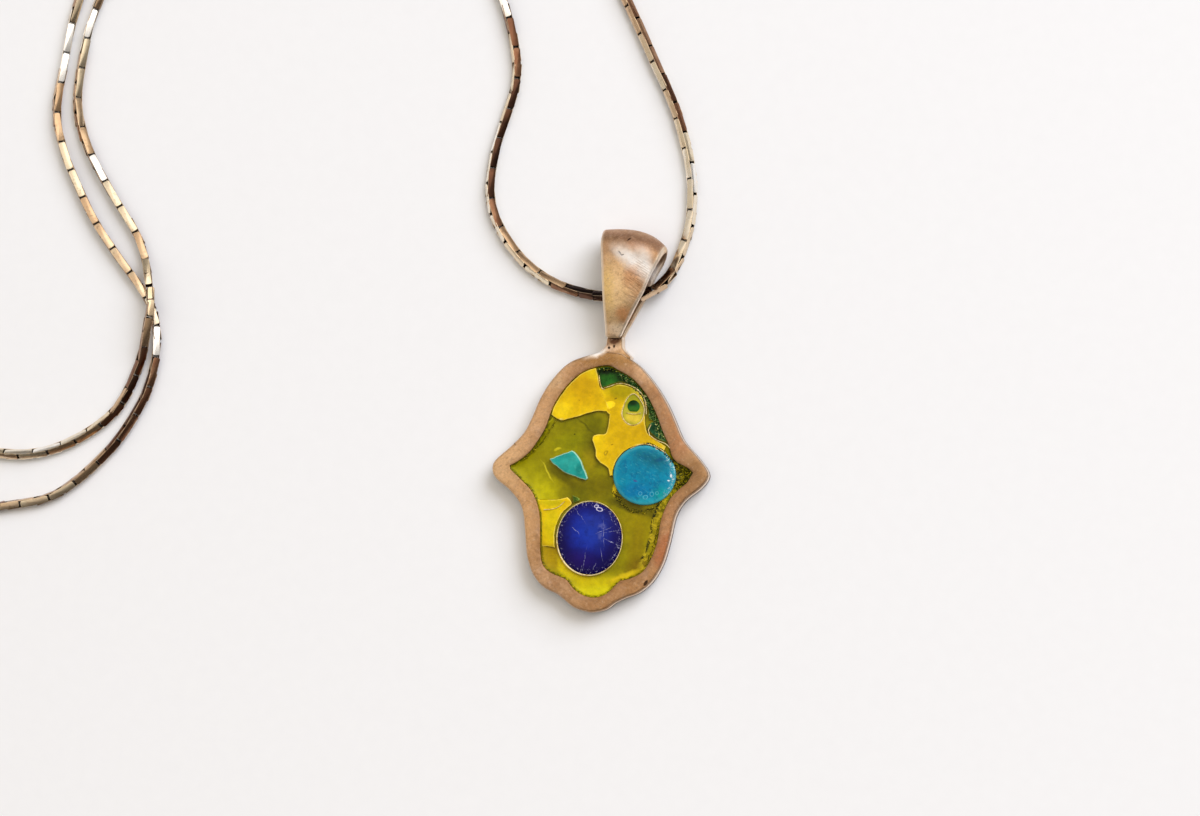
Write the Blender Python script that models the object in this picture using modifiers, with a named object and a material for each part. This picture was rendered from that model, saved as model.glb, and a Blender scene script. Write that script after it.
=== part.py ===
"""An enamel pendant in the outline of an open hand, lying on its back with its box chain.

Metres, +Z up. The origin is the middle of the setting's flat back, which lies on the
surface. Seen with the enamel facing up, +X is to the right and +Y points to the bail.
Run it with: blender --background --python part.py
"""

import math
from collections import namedtuple

import bmesh
import bpy
from mathutils import Matrix, Vector

MM = 0.001

# Base plate with its rim and recess
BODY_WIDTH = 26.0 * MM
BODY_HEIGHT = 31.2 * MM
BODY_THICKNESS = 2.3 * MM
RIM_WIDTH = 1.8 * MM
RIM_ROUNDING = 0.28 * MM
RECESS_DEPTH = 1.1 * MM

# Neck between the plate and the bail
NECK_OFFSET = 0.45 * MM
NECK_LENGTH = 1.7 * MM
NECK_WIDTH = 1.65 * MM
NECK_INSET = 0.12 * MM

# Bail: one tapered strip, folded over to the front
BAIL_HEIGHT = 12.85 * MM
BAIL_WIDTH = 7.9 * MM
BAIL_DEPTH = 4.6 * MM
BAIL_STRIP = 0.8 * MM
BAIL_EDGE_ROUNDING = 0.16 * MM
BAIL_LIFT = 0.2 * MM
BAIL_ROOT = 1.53 * MM
BAIL_TIP_GAP = 0.2 * MM
BAIL_TIP_ROUND = 0.6 * MM
# Share of its width that the strip loses at the tip, and share of its height that the
# fold drops by from the left edge to the right
BAIL_TIP_TAPER = 0.25
BAIL_DROOP = 0.155
BAIL_DROOP_POWER = 4
BAIL_GRID_ACROSS = 8
BAIL_GRID_ALONG = 44

# Enamel and glass
PIECE_GAP = 0.1 * MM
GROUND_THICKNESS = 0.45 * MM
FIELD_THICKNESS = 0.22 * MM
CHIP_THICKNESS = 0.34 * MM
FIELD_ROUNDING = 0.06 * MM
WIRE_RADIUS = 0.08 * MM
DISC_SEAT_DEPTH = 0.3 * MM
DISC_DOME = 0.25 * MM
DISC_STAND = 0.55 * MM
TURQUOISE_WIDTH = 7.5 * MM
TURQUOISE_HEIGHT = 7.1 * MM
COBALT_WIDTH = 7.7 * MM
COBALT_HEIGHT = 8.6 * MM
DROP_CENTRE_WIDTH = 1.66 * MM
DROP_CENTRE_HEIGHT = 1.6 * MM

# Box chain and its clasp. The chain runs through the bail at a share of its height, a
# little to the right of the neck's middle.
CHAIN_REACH = 100.0 * MM
CHAIN_RADIUS = 0.55 * MM
CHAIN_IN_BAIL = 0.3883
CHAIN_ASIDE = 0.9 * MM
CHAIN_GAP = 0.15 * MM
CHAIN_STEPS = 2
CLASP_RADIUS = 1.4 * MM
CLASP_LENGTH = 9.0 * MM
CLASP_ROUNDING = 0.5 * MM
CLASP_SIDES = 20

OUTLINE_STEPS = 3
DISC_STEPS = 40
BEAD_STEPS = 20
WIRE_SIDES = 1
CHAIN_SIDES = 2
CUT_OVERSHOOT = 1.0 * MM
MERGE_DISTANCE = 0.001 * MM
BEVEL_ANGLE = math.radians(50)
SMOOTH_ANGLE = math.radians(35)

# The outline from the top down. Heights are shares of half the body's height, the sides
# are shares of half its width.
OutlineRow = namedtuple("OutlineRow", "height left right")
BODY_OUTLINE = [
    OutlineRow(0.975, 0.082, 0.092),
    OutlineRow(0.945, 0.194, 0.169),
    OutlineRow(0.880, 0.368, 0.292),
    OutlineRow(0.750, 0.512, 0.440),
    OutlineRow(0.600, 0.614, 0.566),
    OutlineRow(0.450, 0.680, 0.660),
    OutlineRow(0.330, 0.749, 0.737),
    OutlineRow(0.215, 0.870, 0.870),
    OutlineRow(0.120, 0.989, 0.964),
    OutlineRow(0.055, 1.023, 0.980),
    OutlineRow(-0.025, 0.987, 0.913),
    OutlineRow(-0.120, 0.839, 0.784),
    OutlineRow(-0.240, 0.726, 0.702),
    OutlineRow(-0.430, 0.680, 0.661),
    OutlineRow(-0.600, 0.650, 0.612),
    OutlineRow(-0.740, 0.585, 0.527),
    OutlineRow(-0.835, 0.481, 0.409),
    OutlineRow(-0.882, 0.353, 0.286),
    OutlineRow(-0.925, 0.276, 0.192),
    OutlineRow(-0.978, 0.184, 0.112),
    OutlineRow(-1.005, 0.061, -0.000),
]

# The recess from the top down, in shares of the half sizes inside the rim. The two side
# points and the dips above the lower lobe are sharp.
RecessRow = namedtuple("RecessRow", "height left right sharp")
RECESS_OUTLINE = [
    RecessRow(0.983, 0.046, 0.031, False),
    RecessRow(0.948, 0.204, 0.122, False),
    RecessRow(0.879, 0.334, 0.280, False),
    RecessRow(0.754, 0.466, 0.428, False),
    RecessRow(0.606, 0.565, 0.539, False),
    RecessRow(0.447, 0.621, 0.626, False),
    RecessRow(0.328, 0.692, 0.702, False),
    RecessRow(0.208, 0.789, 0.768, False),
    RecessRow(0.129, 0.901, 0.942, False),
    RecessRow(0.071, 1.013, 1.003, True),
    RecessRow(-0.030, 0.865, 0.853, False),
    RecessRow(-0.139, 0.728, 0.743, False),
    RecessRow(-0.308, 0.643, 0.667, False),
    RecessRow(-0.496, 0.619, 0.639, False),
    RecessRow(-0.655, 0.603, 0.580, False),
    RecessRow(-0.769, 0.558, 0.496, False),
    RecessRow(-0.832, 0.438, 0.358, False),
    RecessRow(-0.852, 0.324, 0.249, True),
    RecessRow(-0.953, 0.209, 0.155, False),
    RecessRow(-1.003, 0.081, 0.041, False),
]

# The neck's sides from the bail down into the plate. Heights are shares of the neck's
# length above the plate, sides are shares of half its width.
NeckRow = namedtuple("NeckRow", "height side")
NECK_OUTLINE = [
    NeckRow(1.00, 0.80),
    NeckRow(0.80, 1.00),
    NeckRow(0.40, 1.04),
    NeckRow(-0.16, 2.06),
    NeckRow(-0.65, 2.06),
]

# The bail's edges, from the neck up to the fold. Heights are shares of the bail's height
# above the neck, the sides are shares of its width from the neck's middle.
BAIL_OUTLINE = [
    OutlineRow(-0.20, 0.085, 0.100),
    OutlineRow(0.00, 0.076, 0.120),
    OutlineRow(0.08, 0.083, 0.170),
    OutlineRow(0.30, 0.132, 0.330),
    OutlineRow(0.50, 0.170, 0.470),
    OutlineRow(0.68, 0.203, 0.556),
    OutlineRow(0.84, 0.226, 0.655),
    OutlineRow(1.00, 0.228, 0.722),
]

# Edges of the fields and chips, in shares of the half sizes inside the rim. What runs
# past the recess is trimmed to it.
EdgePoint = namedtuple("EdgePoint", "x y sharp")
UPPER_YELLOW = [
    EdgePoint(-0.168, 1.052, True),
    EdgePoint(-0.105, 0.893, False),
    EdgePoint(-0.087, 0.829, False),
    EdgePoint(-0.063, 0.759, True),
    EdgePoint(0.031, 0.594, True),
    EdgePoint(-0.076, 0.594, False),
    EdgePoint(-0.188, 0.571, False),
    EdgePoint(-0.295, 0.537, False),
    EdgePoint(-0.407, 0.511, False),
    EdgePoint(-0.468, 0.496, False),
    EdgePoint(-0.529, 0.516, True),
    EdgePoint(-0.763, 0.635, True),
    EdgePoint(-0.611, 0.893, True),
]
MIDDLE_YELLOW = [
    EdgePoint(-0.053, 0.772, True),
    EdgePoint(0.031, 0.797, False),
    EdgePoint(0.132, 0.827, False),
    EdgePoint(0.226, 0.816, False),
    EdgePoint(0.305, 0.791, False),
    EdgePoint(0.368, 0.750, False),
    EdgePoint(0.407, 0.685, False),
    EdgePoint(0.422, 0.586, False),
    EdgePoint(0.433, 0.501, False),
    EdgePoint(0.460, 0.429, False),
    EdgePoint(0.519, 0.389, False),
    EdgePoint(0.667, 0.316, True),
    EdgePoint(0.611, 0.199, True),
    EdgePoint(0.173, 0.099, True),
    EdgePoint(0.092, 0.022, True),
    EdgePoint(0.063, 0.107, False),
    EdgePoint(-0.022, 0.151, False),
    EdgePoint(-0.071, 0.199, False),
    EdgePoint(-0.081, 0.260, False),
    EdgePoint(-0.120, 0.342, True),
    EdgePoint(-0.107, 0.379, False),
    EdgePoint(-0.031, 0.392, False),
    EdgePoint(0.018, 0.402, False),
    EdgePoint(0.037, 0.452, False),
    EdgePoint(0.049, 0.582, True),
]
GREEN_FIELD = [
    EdgePoint(-0.151, 1.052, True),
    EdgePoint(-0.090, 0.884, False),
    EdgePoint(-0.067, 0.794, True),
    EdgePoint(0.020, 0.822, False),
    EdgePoint(0.132, 0.856, False),
    EdgePoint(0.232, 0.844, False),
    EdgePoint(0.326, 0.809, False),
    EdgePoint(0.402, 0.750, False),
    EdgePoint(0.448, 0.665, False),
    EdgePoint(0.478, 0.541, True),
    EdgePoint(0.763, 0.522, True),
    EdgePoint(0.509, 0.893, True),
    EdgePoint(0.204, 1.092, True),
]
LOWER_YELLOW = [
    EdgePoint(-0.713, -0.199, True),
    EdgePoint(-0.489, -0.189, False),
    EdgePoint(-0.358, -0.164, True),
    EdgePoint(-0.310, -0.204, False),
    EdgePoint(-0.336, -0.328, False),
    EdgePoint(-0.407, -0.616, True),
    EdgePoint(-0.529, -0.596, False),
    EdgePoint(-0.713, -0.616, True),
]
LEAF_GREEN_CHIP = [
    EdgePoint(0.463, 0.465, True),
    EdgePoint(0.504, 0.516, True),
    EdgePoint(0.713, 0.526, True),
    EdgePoint(0.713, 0.347, True),
    EdgePoint(0.550, 0.395, False),
]
MOSS_CHIP = [
    EdgePoint(-0.297, -0.149, True),
    EdgePoint(-0.242, -0.167, False),
    EdgePoint(-0.222, -0.187, True),
    EdgePoint(-0.232, -0.210, True),
    EdgePoint(-0.280, -0.214, True),
]
TEAL_CHIP = [
    EdgePoint(-0.565, 0.156, True),
    EdgePoint(-0.336, 0.235, True),
    EdgePoint(-0.290, 0.212, False),
    EdgePoint(-0.229, 0.139, False),
    EdgePoint(-0.153, 0.010, True),
    EdgePoint(-0.168, -0.006, True),
    EdgePoint(-0.254, 0.015, False),
    EdgePoint(-0.397, 0.052, False),
    EdgePoint(-0.539, 0.131, True),
]
DROP_CELL = [
    EdgePoint(0.305, 0.752, False),
    EdgePoint(0.400, 0.660, False),
    EdgePoint(0.409, 0.581, False),
    EdgePoint(0.379, 0.518, False),
    EdgePoint(0.305, 0.489, False),
    EdgePoint(0.229, 0.511, False),
    EdgePoint(0.186, 0.566, False),
    EdgePoint(0.193, 0.630, False),
    EdgePoint(0.232, 0.713, False),
]
ARCH_WIRE = [
    EdgePoint(-0.031, 0.794, False),
    EdgePoint(0.031, 0.810, False),
    EdgePoint(0.132, 0.840, False),
    EdgePoint(0.228, 0.830, False),
    EdgePoint(0.316, 0.800, False),
    EdgePoint(0.385, 0.753, False),
    EdgePoint(0.425, 0.685, False),
    EdgePoint(0.441, 0.586, False),
]
LOWER_WIRE = [
    EdgePoint(-0.601, -0.280, False),
    EdgePoint(-0.521, -0.273, False),
    EdgePoint(-0.446, -0.250, False),
    EdgePoint(-0.379, -0.199, False),
]

# A glass piece's dome from its top to its wall. Reach is a share of half the width, rise
# a share of the dome's height.
DomePoint = namedtuple("DomePoint", "reach rise")
DOME_PROFILE = [
    DomePoint(0.0, 1.0),
    DomePoint(0.40, 0.93),
    DomePoint(0.72, 0.68),
    DomePoint(0.92, 0.28),
    DomePoint(1.0, -0.5),
]

# Middles of the glass pieces, in shares of the half sizes inside the rim
TURQUOISE_AT = (0.458, 0.062)
COBALT_AT = (-0.090, -0.504)
DROP_CENTRE_AT = (0.298, 0.648)

# Middle of the clasp, in shares of the chain's reach from the bail. The barrel lies
# along X.
CLASP_AT = (-0.9085, -0.3150)

# The chain's course on the surface from the bail to the clasp, in shares of its reach
# from the middle of the bail. The last column says what the chain crosses there, and so
# how high it lies.
FREE, BAIL, OVER = "free", "bail", "over"
ChainPoint = namedtuple("ChainPoint", "x y crosses")
CHAIN_LEFT_ROUTE = [
    ChainPoint(-0.0015, 0.0000, BAIL),
    ChainPoint(-0.0265, 0.0000, BAIL),
    ChainPoint(-0.0615, 0.0060, FREE),
    ChainPoint(-0.0935, 0.0170, FREE),
    ChainPoint(-0.1265, 0.0390, FREE),
    ChainPoint(-0.1515, 0.0680, FREE),
    ChainPoint(-0.1685, 0.1000, FREE),
    ChainPoint(-0.1735, 0.1370, FREE),
    ChainPoint(-0.1665, 0.1870, FREE),
    ChainPoint(-0.1545, 0.2320, FREE),
    ChainPoint(-0.1505, 0.2760, FREE),
    ChainPoint(-0.1725, 0.3540, FREE),
    ChainPoint(-0.2295, 0.4510, FREE),
    ChainPoint(-0.3485, 0.5170, FREE),
    ChainPoint(-0.4985, 0.5200, FREE),
    ChainPoint(-0.6235, 0.4560, FREE),
    ChainPoint(-0.6805, 0.3410, FREE),
    ChainPoint(-0.6965, 0.2690, FREE),
    ChainPoint(-0.6985, 0.2040, FREE),
    ChainPoint(-0.6775, 0.1480, FREE),
    ChainPoint(-0.6405, 0.0910, FREE),
    ChainPoint(-0.6145, 0.0550, FREE),
    ChainPoint(-0.6015, 0.0270, FREE),
    ChainPoint(-0.5895, -0.0070, OVER),
    ChainPoint(-0.5845, -0.0350, OVER),
    ChainPoint(-0.5875, -0.0620, OVER),
    ChainPoint(-0.5965, -0.1010, FREE),
    ChainPoint(-0.6215, -0.1610, FREE),
    ChainPoint(-0.6725, -0.2030, FREE),
    ChainPoint(-0.7325, -0.2240, FREE),
    ChainPoint(-0.8135, -0.2210, FREE),
    ChainPoint(-0.8885, -0.2090, FREE),
    ChainPoint(-0.9615, -0.2220, FREE),
    ChainPoint(-0.9965, -0.2680, FREE),
    ChainPoint(-0.9845, -0.3060, FREE),
]
CHAIN_RIGHT_ROUTE = [
    ChainPoint(0.0020, 0.0005, BAIL),
    ChainPoint(0.0245, 0.0050, BAIL),
    ChainPoint(0.0415, 0.0150, BAIL),
    ChainPoint(0.0555, 0.0370, FREE),
    ChainPoint(0.0655, 0.0640, FREE),
    ChainPoint(0.0725, 0.0960, FREE),
    ChainPoint(0.0715, 0.1430, FREE),
    ChainPoint(0.0615, 0.1860, FREE),
    ChainPoint(0.0445, 0.2330, FREE),
    ChainPoint(0.0175, 0.2860, FREE),
    ChainPoint(-0.0205, 0.3590, FREE),
    ChainPoint(-0.0835, 0.4710, FREE),
    ChainPoint(-0.1985, 0.5700, FREE),
    ChainPoint(-0.3585, 0.6150, FREE),
    ChainPoint(-0.5235, 0.5850, FREE),
    ChainPoint(-0.6495, 0.4830, FREE),
    ChainPoint(-0.7065, 0.3410, FREE),
    ChainPoint(-0.7195, 0.2630, FREE),
    ChainPoint(-0.7255, 0.2010, FREE),
    ChainPoint(-0.7095, 0.1440, FREE),
    ChainPoint(-0.6655, 0.0640, FREE),
    ChainPoint(-0.6235, 0.0110, FREE),
    ChainPoint(-0.5905, -0.0320, FREE),
    ChainPoint(-0.5785, -0.0730, FREE),
    ChainPoint(-0.5845, -0.1350, FREE),
    ChainPoint(-0.6225, -0.2060, FREE),
    ChainPoint(-0.6795, -0.2620, FREE),
    ChainPoint(-0.7195, -0.2810, FREE),
    ChainPoint(-0.7635, -0.2900, FREE),
    ChainPoint(-0.8135, -0.3060, FREE),
]

# Base colour, roughness and metallic of each material
Finish = namedtuple("Finish", "colour roughness metallic")
FINISHES = {
    "satin_metal": Finish((0.78, 0.60, 0.48), 0.36, 1.0),
    "chain_metal": Finish((0.86, 0.72, 0.52), 0.22, 1.0),
    "wire_metal": Finish((0.90, 0.78, 0.50), 0.30, 1.0),
    "olive_enamel": Finish((0.20, 0.19, 0.005), 0.12, 0.0),
    "yellow_enamel": Finish((0.62, 0.42, 0.005), 0.15, 0.0),
    "green_enamel": Finish((0.02, 0.12, 0.02), 0.12, 0.0),
    "pale_olive_enamel": Finish((0.38, 0.38, 0.04), 0.12, 0.0),
    "turquoise_glass": Finish((0.01, 0.25, 0.42), 0.10, 0.0),
    "cobalt_glass": Finish((0.01, 0.03, 0.32), 0.08, 0.0),
    "teal_glass": Finish((0.01, 0.32, 0.30), 0.10, 0.0),
    "dark_green_glass": Finish((0.005, 0.06, 0.01), 0.08, 0.0),
}


def recess_floor():
    return BODY_THICKNESS - RECESS_DEPTH


def ground_top():
    return recess_floor() + PIECE_GAP + GROUND_THICKNESS


def field_bottom():
    return ground_top() + PIECE_GAP


def field_top():
    return field_bottom() + FIELD_THICKNESS


def recess_half():
    """Half sizes of the recess, which the inlays' tables are shares of."""
    return Vector((BODY_WIDTH / 2 - RIM_WIDTH, BODY_HEIGHT / 2 - RIM_WIDTH))


def place_in_recess(share):
    half = recess_half()
    return Vector((share[0] * half.x, share[1] * half.y))


# Smooth outlines
def hermite(start, end, leave, arrive, t):
    """A point on the cubic from start to end, with the given end slopes."""
    return (
        start * (2 * t**3 - 3 * t**2 + 1)
        + leave * (t**3 - 2 * t**2 + t)
        + end * (3 * t**2 - 2 * t**3)
        + arrive * (t**3 - t**2)
    )


def smooth_path(points, sharp=None, closed=False, steps=OUTLINE_STEPS):
    """Points along a smooth curve through the given ones. A sharp point keeps its corner."""
    count = len(points)
    sharp = sharp or [False] * count

    def slope(i):
        if sharp[i]:
            return points[i] * 0.0
        before = points[(i - 1) % count] if closed or i > 0 else points[i]
        after = points[(i + 1) % count] if closed or i < count - 1 else points[i]
        return (after - before) / 2

    path = []
    for i in range(count if closed else count - 1):
        j = (i + 1) % count
        for k in range(steps):
            path.append(hermite(points[i], points[j], slope(i), slope(j), k / steps))
    if not closed:
        path.append(points[-1])
    return path


def inset(loop, distance):
    """The closed loop moved inwards by a distance. The loop runs clockwise."""
    moved = []
    for i, point in enumerate(loop):
        along = (loop[(i + 1) % len(loop)] - loop[i - 1]).normalized()
        moved.append(point + Vector((along.y, -along.x)) * distance)
    return moved


def body_loop():
    """The body's outline, clockwise from the top."""
    half = Vector((BODY_WIDTH / 2, BODY_HEIGHT / 2))
    right = [Vector((row.right * half.x, row.height * half.y)) for row in BODY_OUTLINE]
    left = [Vector((-row.left * half.x, row.height * half.y)) for row in BODY_OUTLINE]
    return smooth_path(right + left[::-1], closed=True)


def recess_loop():
    """The recess's outline, clockwise from the top."""
    half = recess_half()
    right = [Vector((row.right * half.x, row.height * half.y)) for row in RECESS_OUTLINE]
    left = [Vector((-row.left * half.x, row.height * half.y)) for row in RECESS_OUTLINE]
    sharp = [row.sharp for row in RECESS_OUTLINE]
    return smooth_path(right + left[::-1], sharp + sharp[::-1], closed=True)


def edge_loop(edge):
    points = [place_in_recess((point.x, point.y)) for point in edge]
    return smooth_path(points, [point.sharp for point in edge], closed=True)


def ellipse_loop(share, width, height, margin=0.0):
    middle = place_in_recess(share)
    half = Vector((width / 2 + margin, height / 2 + margin))
    loop = []
    for i in range(DISC_STEPS):
        angle = 2 * math.pi * i / DISC_STEPS
        loop.append(middle + Vector((math.cos(angle) * half.x, math.sin(angle) * half.y)))
    return loop


# Objects
def clear_scene():
    for obj in list(bpy.data.objects):
        bpy.data.objects.remove(obj, do_unlink=True)


def make_collection(name):
    collection = bpy.data.collections.new(name)
    bpy.context.scene.collection.children.link(collection)
    return collection


def make_materials():
    for name, finish in FINISHES.items():
        material = bpy.data.materials.new(name)
        material.use_nodes = True
        shader = material.node_tree.nodes["Principled BSDF"]
        shader.inputs["Base Color"].default_value = (*finish.colour, 1.0)
        shader.inputs["Roughness"].default_value = finish.roughness
        shader.inputs["Metallic"].default_value = finish.metallic


def as_mesh(curve):
    """A mesh object in place of a curve, with its caps joined to its sides."""
    graph = bpy.context.evaluated_depsgraph_get()
    mesh = bpy.data.meshes.new_from_object(curve.evaluated_get(graph))
    work = bmesh.new()
    work.from_mesh(mesh)
    bmesh.ops.remove_doubles(work, verts=work.verts, dist=MERGE_DISTANCE)
    bmesh.ops.recalc_face_normals(work, faces=work.faces)
    work.to_mesh(mesh)
    work.free()
    solid = bpy.data.objects.new(curve.name, mesh)
    solid.matrix_world = curve.matrix_world
    for collection in curve.users_collection:
        collection.objects.link(solid)
    name = curve.name
    bpy.data.objects.remove(curve, do_unlink=True)
    solid.name = name
    return solid


def flat_solid(name, loop, bottom, top, collection):
    """A closed slab with the loop's outline, between two heights."""
    data = bpy.data.curves.new(name, "CURVE")
    data.dimensions = "2D"
    data.fill_mode = "BOTH"
    data.extrude = (top - bottom) / 2
    spline = data.splines.new("POLY")
    spline.points.add(len(loop) - 1)
    for target, point in zip(spline.points, loop):
        target.co = (point.x, point.y, 0.0, 1.0)
    spline.use_cyclic_u = True
    curve = bpy.data.objects.new(name, data)
    curve.location.z = (top + bottom) / 2
    collection.objects.link(curve)
    bpy.context.view_layer.update()
    return as_mesh(curve)


def tube(name, path, radius, roundness, collection, closed=False):
    """A round tube along a path."""
    data = bpy.data.curves.new(name, "CURVE")
    data.dimensions = "3D"
    data.bevel_depth = radius
    data.bevel_resolution = roundness
    data.use_fill_caps = not closed
    spline = data.splines.new("POLY")
    spline.points.add(len(path) - 1)
    for target, point in zip(spline.points, path):
        target.co = (*point, 1.0)
    spline.use_cyclic_u = closed
    curve = bpy.data.objects.new(name, data)
    collection.objects.link(curve)
    bpy.context.view_layer.update()
    return as_mesh(curve)


def bevel(solid, width, segments=2):
    rounding = solid.modifiers.new("rounding", "BEVEL")
    rounding.width = width
    rounding.segments = segments
    rounding.limit_method = "ANGLE"
    rounding.angle_limit = BEVEL_ANGLE
    rounding.use_clamp_overlap = True


def boolean(solid, other, operation):
    step = solid.modifiers.new(f"{operation.lower()} {other.name}", "BOOLEAN")
    step.operation = operation
    step.solver = "EXACT"
    step.object = other


def as_cutter(solid):
    solid.hide_render = True
    solid.display_type = "WIRE"
    return solid


def dress(solid, material):
    """Gives a finished piece its material and its smooth shading."""
    solid.data.materials.clear()
    solid.data.materials.append(bpy.data.materials[material])
    solid.data.shade_smooth()
    solid.data.set_sharp_from_angle(angle=SMOOTH_ANGLE)


# Setting
def plate_top():
    """Where the neck meets the plate, along Y."""
    return BODY_OUTLINE[0].height * BODY_HEIGHT / 2


def neck_loop():
    rows = [(row.side * NECK_WIDTH / 2, plate_top() + row.height * NECK_LENGTH) for row in NECK_OUTLINE]
    right = [Vector((NECK_OFFSET + x, y)) for x, y in rows]
    left = [Vector((NECK_OFFSET - x, y)) for x, y in rows]
    return smooth_path(right + left[::-1], closed=True)


def bail_path(along):
    """Height and depth of the strip's middle at a share of its length, and the length left.

    The strip climbs from the neck, turns over at the fold and comes down to its tip.
    """
    radius = (BAIL_DEPTH - BAIL_STRIP) / 2
    back_depth = BAIL_LIFT + BAIL_STRIP / 2
    fold_height = BAIL_HEIGHT - BAIL_DEPTH / 2
    fold_depth = back_depth + radius
    tip = Vector((0.0, BODY_THICKNESS - NECK_INSET + BAIL_TIP_GAP + BAIL_STRIP / 2))
    to_tip = tip - Vector((fold_height, fold_depth))
    fold_turn = math.atan2(to_tip.y, to_tip.x) - math.acos(radius / to_tip.length) + math.pi / 2

    def on_fold(turn):
        return Vector((fold_height + radius * math.sin(turn), fold_depth - radius * math.cos(turn)))

    back_length = fold_height + BAIL_ROOT
    fold_length = radius * fold_turn
    front_length = (tip - on_fold(fold_turn)).length
    travelled = along * (back_length + fold_length + front_length)
    left_over = back_length + fold_length + front_length - travelled
    if travelled < back_length:
        return Vector((travelled - BAIL_ROOT, back_depth)), left_over
    travelled -= back_length
    if travelled < fold_length:
        return on_fold(travelled / radius), left_over
    travelled -= fold_length
    return on_fold(fold_turn).lerp(tip, travelled / front_length), left_over


def between_rows(rows, height, column):
    """The value of a column at a height, straight between the rows."""
    for lower, upper in zip(rows, rows[1:]):
        if height <= upper.height:
            share = max(0.0, (height - lower.height) / (upper.height - lower.height))
            return getattr(lower, column) * (1 - share) + getattr(upper, column) * share
    return getattr(rows[-1], column)


def bail_point(across, along):
    """Maps the flat strip, both ways from 0 to 1, onto the folded bail."""
    place, from_tip = bail_path(along)
    height_share = place.x / BAIL_HEIGHT
    left = -between_rows(BAIL_OUTLINE, height_share, "left") * BAIL_WIDTH
    right = between_rows(BAIL_OUTLINE, height_share, "right") * BAIL_WIDTH
    short_of_round = 1 - min(1.0, max(0.0, from_tip / BAIL_TIP_ROUND))
    narrowing = 1 - BAIL_TIP_TAPER * (1 - math.sqrt(1 - short_of_round**2))
    x = (left + right) / 2 + (across - 0.5) * (right - left) * narrowing
    droop = 1 - BAIL_DROOP * across**BAIL_DROOP_POWER if place.x > 0 else 1.0
    return Vector((NECK_OFFSET + x, plate_top() + NECK_LENGTH + place.x * droop, place.y))


def make_bail(collection):
    """A grid folded into the bail's surface, thickened and rounded."""
    mesh = bpy.data.meshes.new("bail")
    work = bmesh.new()
    bmesh.ops.create_grid(work, x_segments=BAIL_GRID_ACROSS, y_segments=BAIL_GRID_ALONG, size=0.5)
    for vertex in work.verts:
        vertex.co = bail_point(vertex.co.x + 0.5, vertex.co.y + 0.5)
    work.to_mesh(mesh)
    work.free()
    bail = bpy.data.objects.new("bail", mesh)
    collection.objects.link(bail)
    wall = bail.modifiers.new("wall", "SOLIDIFY")
    wall.thickness = BAIL_STRIP
    wall.offset = 0.0
    bevel(bail, BAIL_EDGE_ROUNDING)
    return as_cutter(bail)


def make_setting(parts, helpers):
    setting = flat_solid("setting", body_loop(), 0.0, BODY_THICKNESS, parts)
    bevel(setting, RIM_ROUNDING)
    recess = flat_solid(
        "recess", recess_loop(), recess_floor(), BODY_THICKNESS + CUT_OVERSHOOT, helpers
    )
    boolean(setting, as_cutter(recess), "DIFFERENCE")
    neck = flat_solid("neck", neck_loop(), NECK_INSET, BODY_THICKNESS - NECK_INSET, helpers)
    bevel(neck, RIM_ROUNDING)
    boolean(setting, as_cutter(neck), "UNION")
    boolean(setting, make_bail(helpers), "UNION")
    dress(setting, "satin_metal")


# Enamel
def make_recess_limit(helpers):
    """The space inside the recess that the enamel may fill."""
    limit = flat_solid(
        "recess_limit", inset(recess_loop(), PIECE_GAP), 0.0, BODY_THICKNESS + CUT_OVERSHOOT, helpers
    )
    return as_cutter(limit)


def make_seat(name, share, width, height, margin, bottom, helpers):
    """An oval hole for a glass piece, its margin wider than the piece."""
    loop = ellipse_loop(share, width, height, margin)[::-1]
    return as_cutter(flat_solid(name, loop, bottom, BODY_THICKNESS + CUT_OVERSHOOT, helpers))


def make_ground(parts, helpers):
    ground = flat_solid(
        "enamel_ground",
        inset(recess_loop(), PIECE_GAP),
        recess_floor() + PIECE_GAP,
        ground_top(),
        parts,
    )
    seat_floor = ground_top() - DISC_SEAT_DEPTH
    for name, share, width, height in (
        ("turquoise_seat", TURQUOISE_AT, TURQUOISE_WIDTH, TURQUOISE_HEIGHT),
        ("cobalt_seat", COBALT_AT, COBALT_WIDTH, COBALT_HEIGHT),
    ):
        seat = make_seat(name, share, width, height, PIECE_GAP, seat_floor, helpers)
        boolean(ground, seat, "DIFFERENCE")
    dress(ground, "olive_enamel")


def make_field(name, edge, material, limit, holes, parts, top=None):
    """One field of enamel on the ground, trimmed to the recess and round its neighbours."""
    field = flat_solid(name, edge_loop(edge), field_bottom(), top or field_top(), parts)
    boolean(field, limit, "INTERSECT")
    for hole in holes:
        boolean(field, hole, "DIFFERENCE")
    bevel(field, FIELD_ROUNDING, segments=1)
    dress(field, material)


def make_cell_hole(helpers):
    """The hole in the middle field for the drop cell."""
    loop = inset(edge_loop(DROP_CELL), -PIECE_GAP)
    return as_cutter(
        flat_solid("drop_hole", loop, recess_floor(), BODY_THICKNESS + CUT_OVERSHOOT, helpers)
    )


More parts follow.
